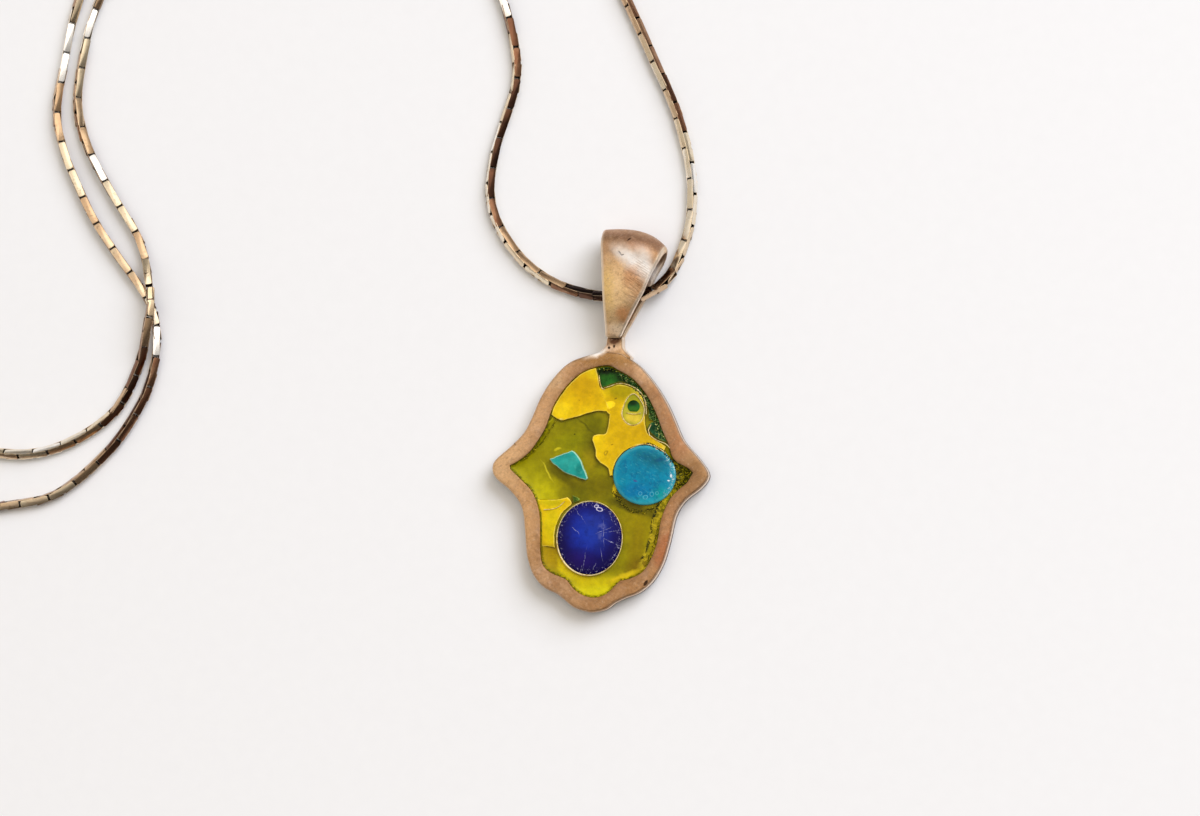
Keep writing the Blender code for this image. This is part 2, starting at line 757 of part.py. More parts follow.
# Glass
def make_glass(name, share, width, height, bottom, stand, dome, material, parts, steps=DISC_STEPS):
    """A turned cabochon with a straight wall and a low dome, stretched to an oval."""
    profile = [Vector((row.reach, 0.0, stand + row.rise * dome)) for row in DOME_PROFILE]
    profile += [Vector((1.0, 0.0, 0.0)), Vector((0.0, 0.0, 0.0))]
    mesh = bpy.data.meshes.new(name)
    work = bmesh.new()
    corners = [work.verts.new(point) for point in profile]
    for upper, lower in zip(corners, corners[1:]):
        work.edges.new((upper, lower))
    work.to_mesh(mesh)
    work.free()
    glass = bpy.data.objects.new(name, mesh)
    parts.objects.link(glass)
    turn = glass.modifiers.new("turn", "SCREW")
    turn.steps = steps
    turn.render_steps = steps
    turn.use_merge_vertices = True
    turn.merge_threshold = MERGE_DISTANCE
    bpy.context.view_layer.update()
    graph = bpy.context.evaluated_depsgraph_get()
    turned = bpy.data.meshes.new_from_object(glass.evaluated_get(graph))
    glass.modifiers.clear()
    turned.transform(Matrix.Diagonal((width / 2, height / 2, 1.0, 1.0)))
    glass.data = turned
    middle = place_in_recess(share)
    glass.location = (middle.x, middle.y, bottom)
    dress(glass, material)
    return glass


# Cell wires
def wire_line(loop):
    """The loop at the height of a wire that lies on the ground."""
    height = field_bottom() + WIRE_RADIUS
    return [Vector((point.x, point.y, height)) for point in loop]


def make_wire(name, loop, parts, closed=False):
    wire = tube(name, wire_line(loop), WIRE_RADIUS, WIRE_SIDES, parts, closed)
    dress(wire, "wire_metal")


def make_wire_channel(name, loop, helpers):
    """The space that a wire takes from the fields beside it."""
    return as_cutter(tube(name, wire_line(loop), WIRE_RADIUS + PIECE_GAP, WIRE_SIDES, helpers))


def wire_path(edge):
    return smooth_path([place_in_recess((point.x, point.y)) for point in edge])


# Chain
def chain_height(crosses):
    """Height of the chain's middle where it crosses something or lies free."""
    if crosses == BAIL:
        return BAIL_LIFT + BAIL_STRIP + CHAIN_GAP + CHAIN_RADIUS
    if crosses == OVER:
        return CHAIN_RADIUS * 3 + CHAIN_GAP
    return CHAIN_RADIUS


def chain_start():
    """The middle of the chain's passage through the bail, seen from above."""
    height = plate_top() + NECK_LENGTH + CHAIN_IN_BAIL * BAIL_HEIGHT
    return Vector((NECK_OFFSET + CHAIN_ASIDE, height))


def on_surface(x, y, height):
    """A place given by its shares of the chain's reach, at a height."""
    start = chain_start()
    return Vector((start.x + x * CHAIN_REACH, start.y + y * CHAIN_REACH, height))


def clasp_middle():
    return on_surface(*CLASP_AT, CLASP_RADIUS)


def make_chain(name, route, clasp_side, parts):
    """One side of the chain, from the bail to the clasp's left (-1) or right (1) end."""
    points = [on_surface(row.x, row.y, chain_height(row.crosses)) for row in route]
    reach = CLASP_LENGTH / 2 + CHAIN_GAP
    points.append(clasp_middle() + Vector((clasp_side * reach, 0.0, 0.0)))
    path = smooth_path(points, steps=CHAIN_STEPS)
    for point in path:
        point.z = max(point.z, CHAIN_RADIUS)
    chain = tube(name, path, CHAIN_RADIUS, CHAIN_SIDES, parts)
    dress(chain, "chain_metal")


def make_clasp(parts):
    """A plain barrel between the chain's two ends."""
    bpy.ops.mesh.primitive_cylinder_add(
        vertices=CLASP_SIDES, radius=CLASP_RADIUS, depth=CLASP_LENGTH, location=clasp_middle()
    )
    clasp = bpy.context.object
    clasp.name = "clasp"
    clasp.rotation_euler.y = math.pi / 2
    for collection in list(clasp.users_collection):
        collection.objects.unlink(clasp)
    parts.objects.link(clasp)
    bevel(clasp, CLASP_ROUNDING)
    dress(clasp, "chain_metal")


def make_pendant():
    clear_scene()
    make_materials()
    parts = make_collection("enamel_pendant")
    helpers = make_collection("cutters")
    make_setting(parts, helpers)
    make_ground(parts, helpers)

    limit = make_recess_limit(helpers)
    wire_room = 2 * (WIRE_RADIUS + PIECE_GAP)
    floor = recess_floor()
    turquoise_hole = make_seat(
        "turquoise_hole", TURQUOISE_AT, TURQUOISE_WIDTH, TURQUOISE_HEIGHT, PIECE_GAP, floor, helpers
    )
    cobalt_hole = make_seat(
        "cobalt_hole", COBALT_AT, COBALT_WIDTH, COBALT_HEIGHT, wire_room + PIECE_GAP, floor, helpers
    )
    drop_centre_hole = make_seat(
        "drop_centre_hole",
        DROP_CENTRE_AT,
        DROP_CENTRE_WIDTH,
        DROP_CENTRE_HEIGHT,
        PIECE_GAP,
        floor,
        helpers,
    )
    arch_channel = make_wire_channel("arch_channel", wire_path(ARCH_WIRE), helpers)
    lower_channel = make_wire_channel("lower_channel", wire_path(LOWER_WIRE), helpers)
    drop_hole = make_cell_hole(helpers)

    make_field("upper_yellow_field", UPPER_YELLOW, "yellow_enamel", limit, [], parts)
    make_field(
        "middle_yellow_field",
        MIDDLE_YELLOW,
        "yellow_enamel",
        limit,
        [turquoise_hole, drop_hole, arch_channel],
        parts,
    )
    make_field("green_field", GREEN_FIELD, "green_enamel", limit, [arch_channel], parts)
    make_field(
        "lower_yellow_field",
        LOWER_YELLOW,
        "yellow_enamel",
        limit,
        [cobalt_hole, lower_channel],
        parts,
    )
    make_field("leaf_green_chip", LEAF_GREEN_CHIP, "green_enamel", limit, [], parts)
    make_field("moss_chip", MOSS_CHIP, "green_enamel", limit, [cobalt_hole], parts)
    chip_top = field_bottom() + CHIP_THICKNESS
    make_field("teal_chip", TEAL_CHIP, "teal_glass", limit, [], parts, top=chip_top)
    make_field("drop_cell", DROP_CELL, "pale_olive_enamel", limit, [drop_centre_hole], parts)

    disc_bottom = ground_top() - DISC_SEAT_DEPTH + PIECE_GAP
    make_glass(
        "turquoise_disc",
        TURQUOISE_AT,
        TURQUOISE_WIDTH,
        TURQUOISE_HEIGHT,
        disc_bottom,
        DISC_STAND,
        DISC_DOME,
        "turquoise_glass",
        parts,
    )
    make_glass(
        "cobalt_disc",
        COBALT_AT,
        COBALT_WIDTH,
        COBALT_HEIGHT,
        disc_bottom,
        DISC_STAND,
        DISC_DOME,
        "cobalt_glass",
        parts,
    )
    make_glass(
        "drop_centre",
        DROP_CENTRE_AT,
        DROP_CENTRE_WIDTH,
        DROP_CENTRE_HEIGHT,
        field_bottom(),
        FIELD_THICKNESS,
        DISC_DOME / 2,
        "dark_green_glass",
        parts,
        steps=BEAD_STEPS,
    )
    cobalt_ring = ellipse_loop(COBALT_AT, COBALT_WIDTH, COBALT_HEIGHT, PIECE_GAP + WIRE_RADIUS)
    make_wire("cobalt_wire", cobalt_ring, parts, closed=True)
    make_wire("arch_wire", wire_path(ARCH_WIRE), parts)
    make_wire("lower_wire", wire_path(LOWER_WIRE), parts)

    make_chain("chain_left", CHAIN_LEFT_ROUTE, -1, parts)
    make_chain("chain_right", CHAIN_RIGHT_ROUTE, 1, parts)
    make_clasp(parts)


make_pendant()
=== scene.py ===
# %% [markdown]
# # An enamel pendant on a box chain
#
# The real object is a flat metal setting in the outline of an open hand, a few
# millimetres thick. Its recess holds fired enamel and pieces of inset glass, and a
# tapered strip, folded over at the top, lets a long box chain run through.
#
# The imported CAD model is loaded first. It fixes every size and place, so this script
# reads its outlines from that model and adds what a camera sees: rounded edges, the
# chain's links, and the finish of each surface.

# %% The frame
import math
import random
from collections import namedtuple
from functools import reduce

import bmesh
import bpy
from mathutils import Matrix, Vector, geometry, kdtree, noise


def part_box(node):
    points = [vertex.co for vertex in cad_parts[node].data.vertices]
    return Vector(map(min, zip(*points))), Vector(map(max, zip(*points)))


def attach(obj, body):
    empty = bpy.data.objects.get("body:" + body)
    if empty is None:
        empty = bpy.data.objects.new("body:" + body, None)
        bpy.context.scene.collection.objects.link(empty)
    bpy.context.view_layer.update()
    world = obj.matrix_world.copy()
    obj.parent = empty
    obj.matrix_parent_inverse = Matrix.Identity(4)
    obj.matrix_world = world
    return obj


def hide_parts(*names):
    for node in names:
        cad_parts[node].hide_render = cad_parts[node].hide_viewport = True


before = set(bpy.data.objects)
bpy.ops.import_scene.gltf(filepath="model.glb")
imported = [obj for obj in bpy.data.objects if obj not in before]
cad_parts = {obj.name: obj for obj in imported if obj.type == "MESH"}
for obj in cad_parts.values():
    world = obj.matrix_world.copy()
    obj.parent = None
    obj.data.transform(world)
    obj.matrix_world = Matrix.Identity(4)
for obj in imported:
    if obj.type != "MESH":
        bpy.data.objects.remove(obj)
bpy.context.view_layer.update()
MM = 0.001
MERGE = 0.002 * MM
BODY = "root"
print("CAD nodes:", ", ".join(sorted(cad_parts)))

# %% [markdown]
# ## The camera
#
# The pendant was photographed from almost straight above, with a long lens, from a
# little to its right and below it. The picture's own axes lean against the pendant's,
# so the camera is rolled. Its place follows from the picture's scale: how many pixels
# one millimetre takes where the pendant lies.

# %% Camera
FRAME_WIDTH_PX = 1200
PX_PER_MM = 8.4
LENS_MM, SENSOR_MM = 105.0, 36.0
LEAN = math.radians(3.5)
FROM_RIGHT, FROM_BELOW = math.radians(10.3), math.radians(4.0)
AIM = Vector((-0.884, 8.606, 1.0)) * MM


def camera_axes():
    """The picture's right, its up, and the way back to the camera, in the pendant's frame."""
    right = Vector((math.cos(LEAN), math.sin(LEAN), 0.0))
    up = Vector((-math.sin(LEAN), math.cos(LEAN), 0.0))
    back = (right * math.tan(FROM_RIGHT) - up * math.tan(FROM_BELOW) + Vector((0, 0, 1))).normalized()
    across = up.cross(back).normalized()
    return across, back.cross(across), back


across, upward, back = camera_axes()
distance = LENS_MM * FRAME_WIDTH_PX / PX_PER_MM / SENSOR_MM * MM
lens = bpy.data.cameras.new("camera")
lens.lens, lens.sensor_width = LENS_MM, SENSOR_MM
lens.clip_start, lens.clip_end = 0.01, 20.0
camera = bpy.data.objects.new("camera", lens)
turned = Matrix((across, upward, back)).transposed().to_4x4()
camera.matrix_world = Matrix.Translation(AIM + back * distance) @ turned
bpy.context.scene.collection.objects.link(camera)
bpy.context.scene.camera = camera
bpy.context.scene.view_settings.view_transform = "Standard"
print("camera %.0f mm away" % (distance / MM))

# %% [markdown]
# ## Shader sums as plain expressions
#
# A finish is worked out from masks and noises. Written as nodes and links, such a sum
# is hard to read, so one small class stands for a value on its way through the shader
# and turns each operator into a Math node. Every node comes from one function, which
# sets the node's own settings first and then fills or links its sockets.

# %% Shader values
class Value:
    """A number in the shader. Sums, differences and products of it add Math nodes."""

    def __init__(self, finish, socket):
        self.finish = finish
        self.socket = socket

    def _math(self, operation, first, second):
        return self.finish.node("ShaderNodeMath", {"operation": operation}, {0: first, 1: second})

    def __add__(self, other):
        return self._math("ADD", self, other)

    __radd__ = __add__

    def __mul__(self, other):
        return self._math("MULTIPLY", self, other)

    def __sub__(self, other):
        return self._math("SUBTRACT", self, other)

    def __rsub__(self, other):
        return self._math("SUBTRACT", other, self)

    def at_least(self, other):
        return self._math("MAXIMUM", self, other)


def paint(red, green, blue):
    """A colour given in everyday 0 to 255 values, as the shader's linear values."""
    linear = []
    for part in (red, green, blue):
        share = part / 255
        linear.append(share / 12.92 if share <= 0.04045 else ((share + 0.055) / 1.055) ** 2.4)
    return (*linear, 1.0)


# %% Finishes
def add_node(tree, kind, settings, sockets):
    """One node: its settings, then its sockets' values or links."""
    made = tree.nodes.new(kind)
    for name, value in (settings or {}).items():
        setattr(made, name, value)
    for name, value in (sockets or {}).items():
        if isinstance(value, bpy.types.NodeSocket):
            tree.links.new(value, made.inputs[name])
        else:
            made.inputs[name].default_value = value
    return made


class Finish:
    """A material, or the world, while its nodes are being put together."""

    ANY_HEIGHT = 1000.0

    def __init__(self, name, tree=None):
        if tree is None:
            self.material = bpy.data.materials.new(name)
            self.material.use_nodes = True
            tree = self.material.node_tree
        tree.nodes.clear()
        self.tree = tree

    def node(self, kind, settings=None, sockets=None, out=0):
        """Adds one node and gives one of its outputs back."""
        plain = {name: getattr(value, "socket", value) for name, value in (sockets or {}).items()}
        made = add_node(self.tree, kind, settings, plain)
        return Value(self, made.outputs[out]) if len(made.outputs) else made

    def mark(self, name):
        """A number that the mesh carries at each of its points."""
        return self.node("ShaderNodeAttribute", {"attribute_name": name}, out="Fac")

    def scaled(self, vector, amount):
        """A place measured in other units, or a colour made lighter or darker."""
        return self.node("ShaderNodeVectorMath", {"operation": "SCALE"}, {0: vector, "Scale": amount})

    def place(self):
        """The point on the object, in millimetres."""
        return self.scaled(self.node("ShaderNodeTexCoord", out="Object"), 1 / MM)

    def fitted(self, place, scale, turn, middle=(0.0, 0.0, 0.0)):
        """The place measured from a middle along turned axes, each in its own unit."""
        rotation = (0.0, 0.0, math.radians(turn))
        sockets = {"Vector": place, "Location": middle, "Rotation": rotation, "Scale": scale}
        return self.node("ShaderNodeMapping", {"vector_type": "TEXTURE"}, sockets)

    def stretch(self, place, x, y, z, turn):
        """The place measured along turned axes, each multiplied, so that a pattern runs one way."""
        return self.fitted(place, (1 / x, 1 / y, 1 / z), turn)

    def noise(self, place, scale, detail=3.0, rough=0.5, warp=0.0):
        sockets = {"Vector": place, "Scale": scale, "Detail": detail, "Roughness": rough, "Distortion": warp}
        return self.node("ShaderNodeTexNoise", None, sockets)

    def cells(self, place, scale, feature="F1"):
        sockets = {"Vector": place, "Scale": scale}
        return self.node("ShaderNodeTexVoronoi", {"feature": feature}, sockets, out="Distance")

    def ramp(self, value, low, high, start=0.0, end=1.0):
        """Start below low, end above high, and a soft step between them."""
        sockets = {"Value": value, 1: low, 2: high, 3: start, 4: end}
        return self.node("ShaderNodeMapRange", {"interpolation_type": "SMOOTHSTEP"}, sockets)

    def fade(self, value, low, high):
        """1 below low, 0 above high, and a soft step between them."""
        return self.ramp(value, low, high, 1.0, 0.0)

    def blend(self, first, second, share):
        """First colour where share is 0, second where it is 1."""
        settings = {"data_type": "RGBA", "clamp_factor": True}
        return self.node("ShaderNodeMix", settings, {0: share, 6: first, 7: second}, out=2)

    def layers(self, colour, *rows):
        """The colour with each row's colour laid over it in turn, by the row's share."""
        for over, share in rows:
            colour = self.blend(colour, paint(*over), share)
        return colour

    def shift(self, place, scale, reach):
        """The place moved about by noise, which makes a mask's edge irregular."""
        sockets = {"Vector": place, "Scale": scale, "Detail": 2.0}
        wander = self.node("ShaderNodeTexNoise", None, sockets, out="Color")
        centred = self.node("ShaderNodeVectorMath", {"operation": "SUBTRACT"}, {0: wander, 1: (0.5,) * 3})
        moved = self.scaled(centred, reach)
        return self.node("ShaderNodeVectorMath", {"operation": "ADD"}, {0: place, 1: moved})

    def oval(self, place, patch):
        """How far out a point lies from a patch's middle, 1 on the patch's edge."""
        scale = (patch.wide, patch.tall, self.ANY_HEIGHT)
        inside = self.fitted(place, scale, patch.turn, (patch.x, patch.y, 0.0))
        return self.node("ShaderNodeVectorMath", {"operation": "LENGTH"}, {0: inside}, out="Value")

    def spot(self, place, patch):
        """1 inside the patch and 0 outside, with an edge as soft as the patch says."""
        return self.fade(self.oval(place, patch), 1 - patch.soft, 1 + patch.soft)

    def patches(self, colour, place, rows):
        """The colour with each patch's colour laid over it in turn."""
        for patch in rows:
            colour = self.layers(colour, (patch.colour, self.spot(place, patch) * patch.cover))
        return colour

    def relief(self, *rows):
        """Bumps over each other: height runs from 0 to 1 and stands for depth millimetres."""
        under = {}
        for height, depth, strength in rows:
            sockets = {"Height": height, "Strength": strength, "Distance": depth * MM, **under}
            under = {"Normal": self.node("ShaderNodeBump", None, sockets)}
        return under["Normal"]

    def surface(self, colour, roughness, metallic=0.0, normal=None, shine=0.5):
        """Ends the material in one Principled shader."""
        sockets = {"Base Color": colour, "Roughness": roughness, "Metallic": metallic}
        sockets["Specular IOR Level"] = shine
        if normal is not None:
            sockets["Normal"] = normal
        shader = self.node("ShaderNodeBsdfPrincipled", None, sockets)
        self.node("ShaderNodeOutputMaterial", None, {"Surface": shader})
        return self.material


def any_of(masks):
    """1 where any of the masks is 1."""
    return reduce(Value.at_least, masks)


def table(record, *rows):
    """Records from plain rows. A row may leave out its last values."""
    return [record(*row) for row in rows]


Patch = namedtuple("Patch", "x y wide tall turn soft cover colour", defaults=(1.0, ()))
print("shader helpers ready")

# %% [markdown]
# ## Floor and light
#
# The jewel lies on a plain white surface. A window-like soft light stands at the upper
# right, so soft shadows fall to the lower left. Polished metal shows its surroundings,
# so the sky is not one even grey: it is bright towards the window and overhead, paler
# at the far wall and dim elsewhere. That, with the painted reflection in the chain's
# tarnish, gives the chain its dark and white faces. The lamp itself is hidden from
# reflections, because it would burn the metal out.

# %% Floor and lights
FLOOR_SIZE = 3.0
LIGHT_FROM = Vector((0.56, 0.60, 0.60)).normalized()
LIGHT_DISTANCE = 1.6
LIGHT_SIZE = 1.1
LIGHT_WATTS = 22.0
LIGHT_COLOUR = (0.90, 0.96, 1.10)
ROOM_COLOUR = (1.0, 0.925, 0.83, 1.0)
WINDOW_WAY = Vector((0.46, 0.52, 0.84)).normalized()
FAR_WALL_WAY = Vector((-0.93, 0.0, 0.36))
NEAR_LOW_WAY = Vector((0.5, -0.8, 0.1)).normalized()
OVERHEAD_WAY = Vector((-0.1, 0.1, 0.99)).normalized()


def make_floor():
    bpy.ops.mesh.primitive_plane_add(size=FLOOR_SIZE)
    floor = bpy.context.object
    floor.name = "floor"
    white = Finish("floor_white")
    grain = white.noise(white.place(), 0.6, 2.0)
    colour = white.blend(paint(232, 232, 232), paint(235, 235, 235), grain)
    floor.data.materials.append(white.surface(colour, 0.9))


def make_light():
    data = bpy.data.lights.new("window", "AREA")
    data.shape = "SQUARE"
    data.size = LIGHT_SIZE
    data.energy = LIGHT_WATTS
    data.color = LIGHT_COLOUR
    lamp = bpy.data.objects.new("window", data)
    lamp.visible_glossy = False
    lamp.matrix_world = Matrix.Translation(LIGHT_FROM * LIGHT_DISTANCE) @ (
        LIGHT_FROM.to_track_quat("Z", "Y").to_matrix().to_4x4()
    )
    bpy.context.scene.collection.objects.link(lamp)


def make_sky():
    """A dim room with a bright window, a bright ceiling and a pale far wall."""
    world = bpy.data.worlds.new("room")
    bpy.context.scene.world = world
    world.use_nodes = True
    sky = Finish("room", world.node_tree)
    way = sky.node("ShaderNodeTexCoord", out="Generated")

    def facing(direction):
        sockets = {0: way, 1: tuple(direction)}
        return sky.node("ShaderNodeVectorMath", {"operation": "DOT_PRODUCT"}, sockets, out="Value")

    towards_window = facing(WINDOW_WAY)
    window = sky.ramp(towards_window, 0.55, 0.97) * 0.45 + sky.ramp(towards_window, 0.86, 0.98)
    far_wall = sky.ramp(facing(FAR_WALL_WAY), 0.35, 0.95)
    near_low = sky.ramp(facing(NEAR_LOW_WAY), 0.5, 0.95)
    overhead = sky.ramp(facing(OVERHEAD_WAY), 0.70, 0.97)
    strength = 0.20 + window + far_wall * 0.45 - near_low * 0.08 + overhead * 0.62
    background = sky.node("ShaderNodeBackground", None, {"Color": ROOM_COLOUR, "Strength": strength})
    sky.node("ShaderNodeOutputWorld", None, {"Surface": background})


make_floor()
make_light()
make_sky()
print("floor", FLOOR_SIZE, "m, light", LIGHT_WATTS, "W")

# %% [markdown]
# ## Outlines from the CAD model
#
# A level cut through a CAD node gives its outline as a chain of short straight edges.
# They are enough for the CAD, but a close camera would see the corners. So each outline
# is redrawn as a smooth curve through the same points, and only the real corners, where
# the edge turns sharply, are kept.

# %% Outline helpers
CORNER_TURN = math.radians(30)
STRAIGHT_TURN = math.radians(0.15)
LEAST_MITRE = 0.6


def area_of(loop):
    return sum(a.x * b.y - b.x * a.y for a, b in zip(loop, loop[1:] + loop[:1])) / 2


def welded(mesh):
    """A mesh to work on, with points in the same place made one."""
    work = bmesh.new()
    work.from_mesh(mesh)
    bmesh.ops.remove_doubles(work, verts=work.verts, dist=MERGE)
    return work


def tree_of(points):
    """A search tree that finds the nearest of the points."""
    tree = kdtree.KDTree(len(points))
    for i, point in enumerate(points):
        tree.insert(point.to_3d(), i)
    tree.balance()
    return tree


def cut_loops(node, height):
    """The closed outlines where a level plane cuts a node, largest first, counter-clockwise."""
    work = welded(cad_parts[node].data)
    everything = work.verts[:] + work.edges[:] + work.faces[:]
    cut = bmesh.ops.bisect_plane(work, geom=everything, plane_co=(0, 0, height), plane_no=(0, 0, 1))
    edges = [part for part in cut["geom_cut"] if isinstance(part, bmesh.types.BMEdge)]
    beside = {}
    for edge in edges:
        first, second = edge.verts
        beside.setdefault(first, []).append(second)
        beside.setdefault(second, []).append(first)
    loops = []
    while beside:
        start = next(iter(beside))
        loop, vertex = [], start
        while vertex in beside:
            loop.append(vertex.co.xy.copy())
            following = [other for other in beside.pop(vertex) if other in beside]
            vertex = following[0] if following else None
        if len(loop) > 3:
            loops.append(loop if area_of(loop) > 0 else loop[::-1])
    work.free()
    return sorted(loops, key=lambda loop: -abs(area_of(loop)))


def without_straights(loop):
    """Drops points on a straight stretch, which the triangles of a wall leave behind."""
    kept = []
    for i, point in enumerate(loop):
        before, after = point - loop[i - 1], loop[(i + 1) % len(loop)] - point
        if before.length > MERGE and after.length > MERGE:
            if abs(before.angle_signed(after)) > STRAIGHT_TURN:
                kept.append(point)
    return kept


def hermite(start, end, leave, arrive, t):
    return (
        start * (2 * t**3 - 3 * t**2 + 1)
        + leave * (t**3 - 2 * t**2 + t)
        + end * (3 * t**2 - 2 * t**3)
        + arrive * (t**3 - t**2)
    )


def redrawn(loop, step, closed=True):
    """A smooth curve through the points in steps of about that length. Corners stay."""
    count = len(loop)
    spans = count if closed else count - 1
    chord = [loop[(i + 1) % count] - loop[i] for i in range(spans)]

    def slope(i, length, leaving):
        if not closed and i in (0, count - 1):
            return (chord[0] if i == 0 else chord[-1]).normalized() * length
        before, after = chord[i - 1], chord[i % spans]
        if before.angle(after, 0.0) > CORNER_TURN:
            return (after if leaving else before).normalized() * length
        mixed = before.normalized() * after.length + after.normalized() * before.length
        return mixed / (before.length + after.length) * length

    path = []
    for i in range(spans):
        length = chord[i].length
        steps = max(1, round(length / step))
        start, end = loop[i], loop[(i + 1) % count]
        leave, arrive = slope(i, length, True), slope((i + 1) % count, length, False)
        path += [hermite(start, end, leave, arrive, k / steps) for k in range(steps)]
    return path if closed else path + [loop[-1]]


def grown(loop, distance):
    """The counter-clockwise loop moved outwards by a distance, inwards if it is negative."""
    moved = []
    for i, point in enumerate(loop):
        before = (point - loop[i - 1]).normalized()
        after = (loop[(i + 1) % len(loop)] - point).normalized()
        along = (before + after).normalized()
        mitre = max(LEAST_MITRE, along.dot(after))
        moved.append(point + Vector((along.y, -along.x)) * (distance / mitre))
    return moved


def ragged(loop, reach, size):
    """The loop with a small irregular wander, as broken or flowed glass has."""
    moved = []
    for i, point in enumerate(loop):
        along = (loop[(i + 1) % len(loop)] - loop[i - 1]).normalized()
        spot = point.to_3d() / size
        wander = noise.noise(spot) + 0.5 * noise.noise(spot * 2.7)
        moved.append(point + Vector((along.y, -along.x)) * wander * reach)
    return moved


def run_into(loop, other, near, push):
    """The loop pushed outwards wherever it lies close beside the other one."""
    tree = tree_of(other)
    pushed = []
    for point, out in zip(loop, grown(loop, push)):
        gap = tree.find(point.to_3d())[2]
        pushed.append(point.lerp(out, min(1.0, max(0.0, 2 - gap / near))))
    return pushed


def inside(point, loop):
    """True if the point is within the loop: a line to its right crosses an odd number of edges."""
    crossings = 0
    for a, b in zip(loop, loop[1:] + loop[:1]):
        if (a.y > point.y) != (b.y > point.y):
            crossings += point.x < a.x + (point.y - a.y) / (b.y - a.y) * (b.x - a.x)
    return crossings % 2 == 1


PLATE_TOP = 2.3 * MM
RECESS_FLOOR = 1.2 * MM
JUST_BELOW = 0.005 * MM
RIM_STEP = 0.25 * MM
rim_loops = [without_straights(loop) for loop in cut_loops("setting", PLATE_TOP - JUST_BELOW)]
rim_outer, rim_inner = [redrawn(loop, RIM_STEP) for loop in rim_loops[:2]]
print("rim outline %d points, recess outline %d points" % (len(rim_outer), len(rim_inner)))

# %% [markdown]
# ## Piece by piece: how a mesh becomes a piece
#
# A finished piece is a closed mesh whose object sits at the origin. It gets its
# material, hides the CAD nodes it stands for, and rides on the one body.

# %% Piece helpers
SMOOTH_ANGLE = math.radians(38)


def new_object(name, work):
    mesh = bpy.data.meshes.new(name)
    work.to_mesh(mesh)
    work.free()
    piece = bpy.data.objects.new(name, mesh)
    bpy.context.scene.collection.objects.link(piece)
    return piece


def finished(piece, material, slot, *nodes):
    """Shades the piece, gives it its material and hides the CAD nodes it stands for."""
    piece.data.shade_smooth()
    piece.data.set_sharp_from_angle(angle=SMOOTH_ANGLE)
    piece.data.materials.clear()
    piece.data.materials.append(material)
    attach(piece, BODY)
    if nodes:
        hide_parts(*nodes)
    heights = [vertex.co.z / MM for vertex in piece.data.vertices]
    faces = len(piece.data.polygons)
    print("%-24s %6d faces, from %.2f to %.2f mm" % (piece.name, faces, min(heights), max(heights)))


def shaped(piece):
    """The mesh that a piece's modifiers, or a curve's own settings, make of it."""
    bpy.context.view_layer.update()
    seen = piece.evaluated_get(bpy.context.evaluated_depsgraph_get())
    return bpy.data.meshes.new_from_object(seen)


def flattened(piece):
    """The piece as its modifiers leave it, as a plain mesh."""
    mesh = shaped(piece)
    piece.modifiers.clear()
    piece.data = mesh
    return piece


# %% [markdown]
# ## The setting: plate, rim, neck and bail
#
# On the real pendant the rim is a wide satin border, its top barely crowned and its
# edges worn round. The plate is built as rings: each ring follows the outer outline or
# the recess, at its own height, and the rings are bridged. Both outlines are divided
# alike between four landmarks, the top, the two side tips and the bottom, so that each
# bridge runs straight across the rim.

# %% Plate
RING_POINTS = 110
RimRow = namedtuple("RimRow", "outline inset height worn shade")
# Each row's fourth number paints wear together with painted light: the outer wall paler as a painted
# reflection of the floor, the rounded edges as a painted highlight. The last number is painted shade: the
# dark foot of the wall, dark lines along the edges, and a rim darker towards the recess.
RIM_ROWS = table(
    RimRow,
    ("outer", 0.34, 0.00, 0.0, 1.0),
    ("outer", 0.12, 0.04, 0.0, 1.0),
    ("outer", 0.03, 0.14, 0.0, 1.0),
    ("outer", 0.00, 0.30, 0.0, 1.0),
    ("outer", 0.00, 0.86, 0.0, 0.9),
    ("outer", 0.00, 0.96, 1.0, 0.0),
    ("outer", 0.00, 1.90, 1.0, 0.0),
    ("outer", 0.00, 1.96, 0.6, 0.0),
    ("outer", 0.01, 2.03, 0.0, 0.5),
    ("outer", 0.03, 2.12, 0.0, 0.5),
    ("outer", 0.07, 2.20, 0.5, 0.0),
    ("outer", 0.14, 2.25, 0.3, 0.0),
    ("outer", 0.26, 2.28, 0.0, 0.0),
    ("outer", 0.42, 2.30, 0.0, 0.0),
    ("between", 0.36, 2.31, 0.0, 0.0),
    ("between", 0.64, 2.32, 0.0, 0.12),
    ("inner", 0.32, 2.32, 0.0, 0.24),
    ("inner", 0.14, 2.31, 0.0, 0.30),
    ("inner", 0.05, 2.28, 0.2, 0.20),
    ("inner", 0.00, 2.20, 0.0, 0.40),
    ("inner", 0.00, 1.20, 0.0, 0.60),
)


def quarters(loop):
    """The loop in even steps between its top, left tip, bottom and right tip."""
    marks = [
        max(range(len(loop)), key=lambda i: loop[i].y),
        min(range(len(loop)), key=lambda i: loop[i].x),
        min(range(len(loop)), key=lambda i: loop[i].y),
        max(range(len(loop)), key=lambda i: loop[i].x),
    ]
    points = []
    for start, end in zip(marks, marks[1:] + marks[:1]):
        span = (end - start) % len(loop)
        run = [loop[(start + k) % len(loop)] for k in range(span + 1)]
        lengths = [0.0]
        for a, b in zip(run, run[1:]):
            lengths.append(lengths[-1] + (b - a).length)
        k = 0
        for step in range(RING_POINTS):
            wanted = lengths[-1] * step / RING_POINTS
            while lengths[k + 1] < wanted:
                k += 1
            share = (wanted - lengths[k]) / (lengths[k + 1] - lengths[k])
            points.append(run[k].lerp(run[k + 1], share))
    return points


RIM_WAVES = ((3.0 * MM, 0.04 * MM), (1.1 * MM, 0.012 * MM))
UNEVEN_ABOVE = 1.9


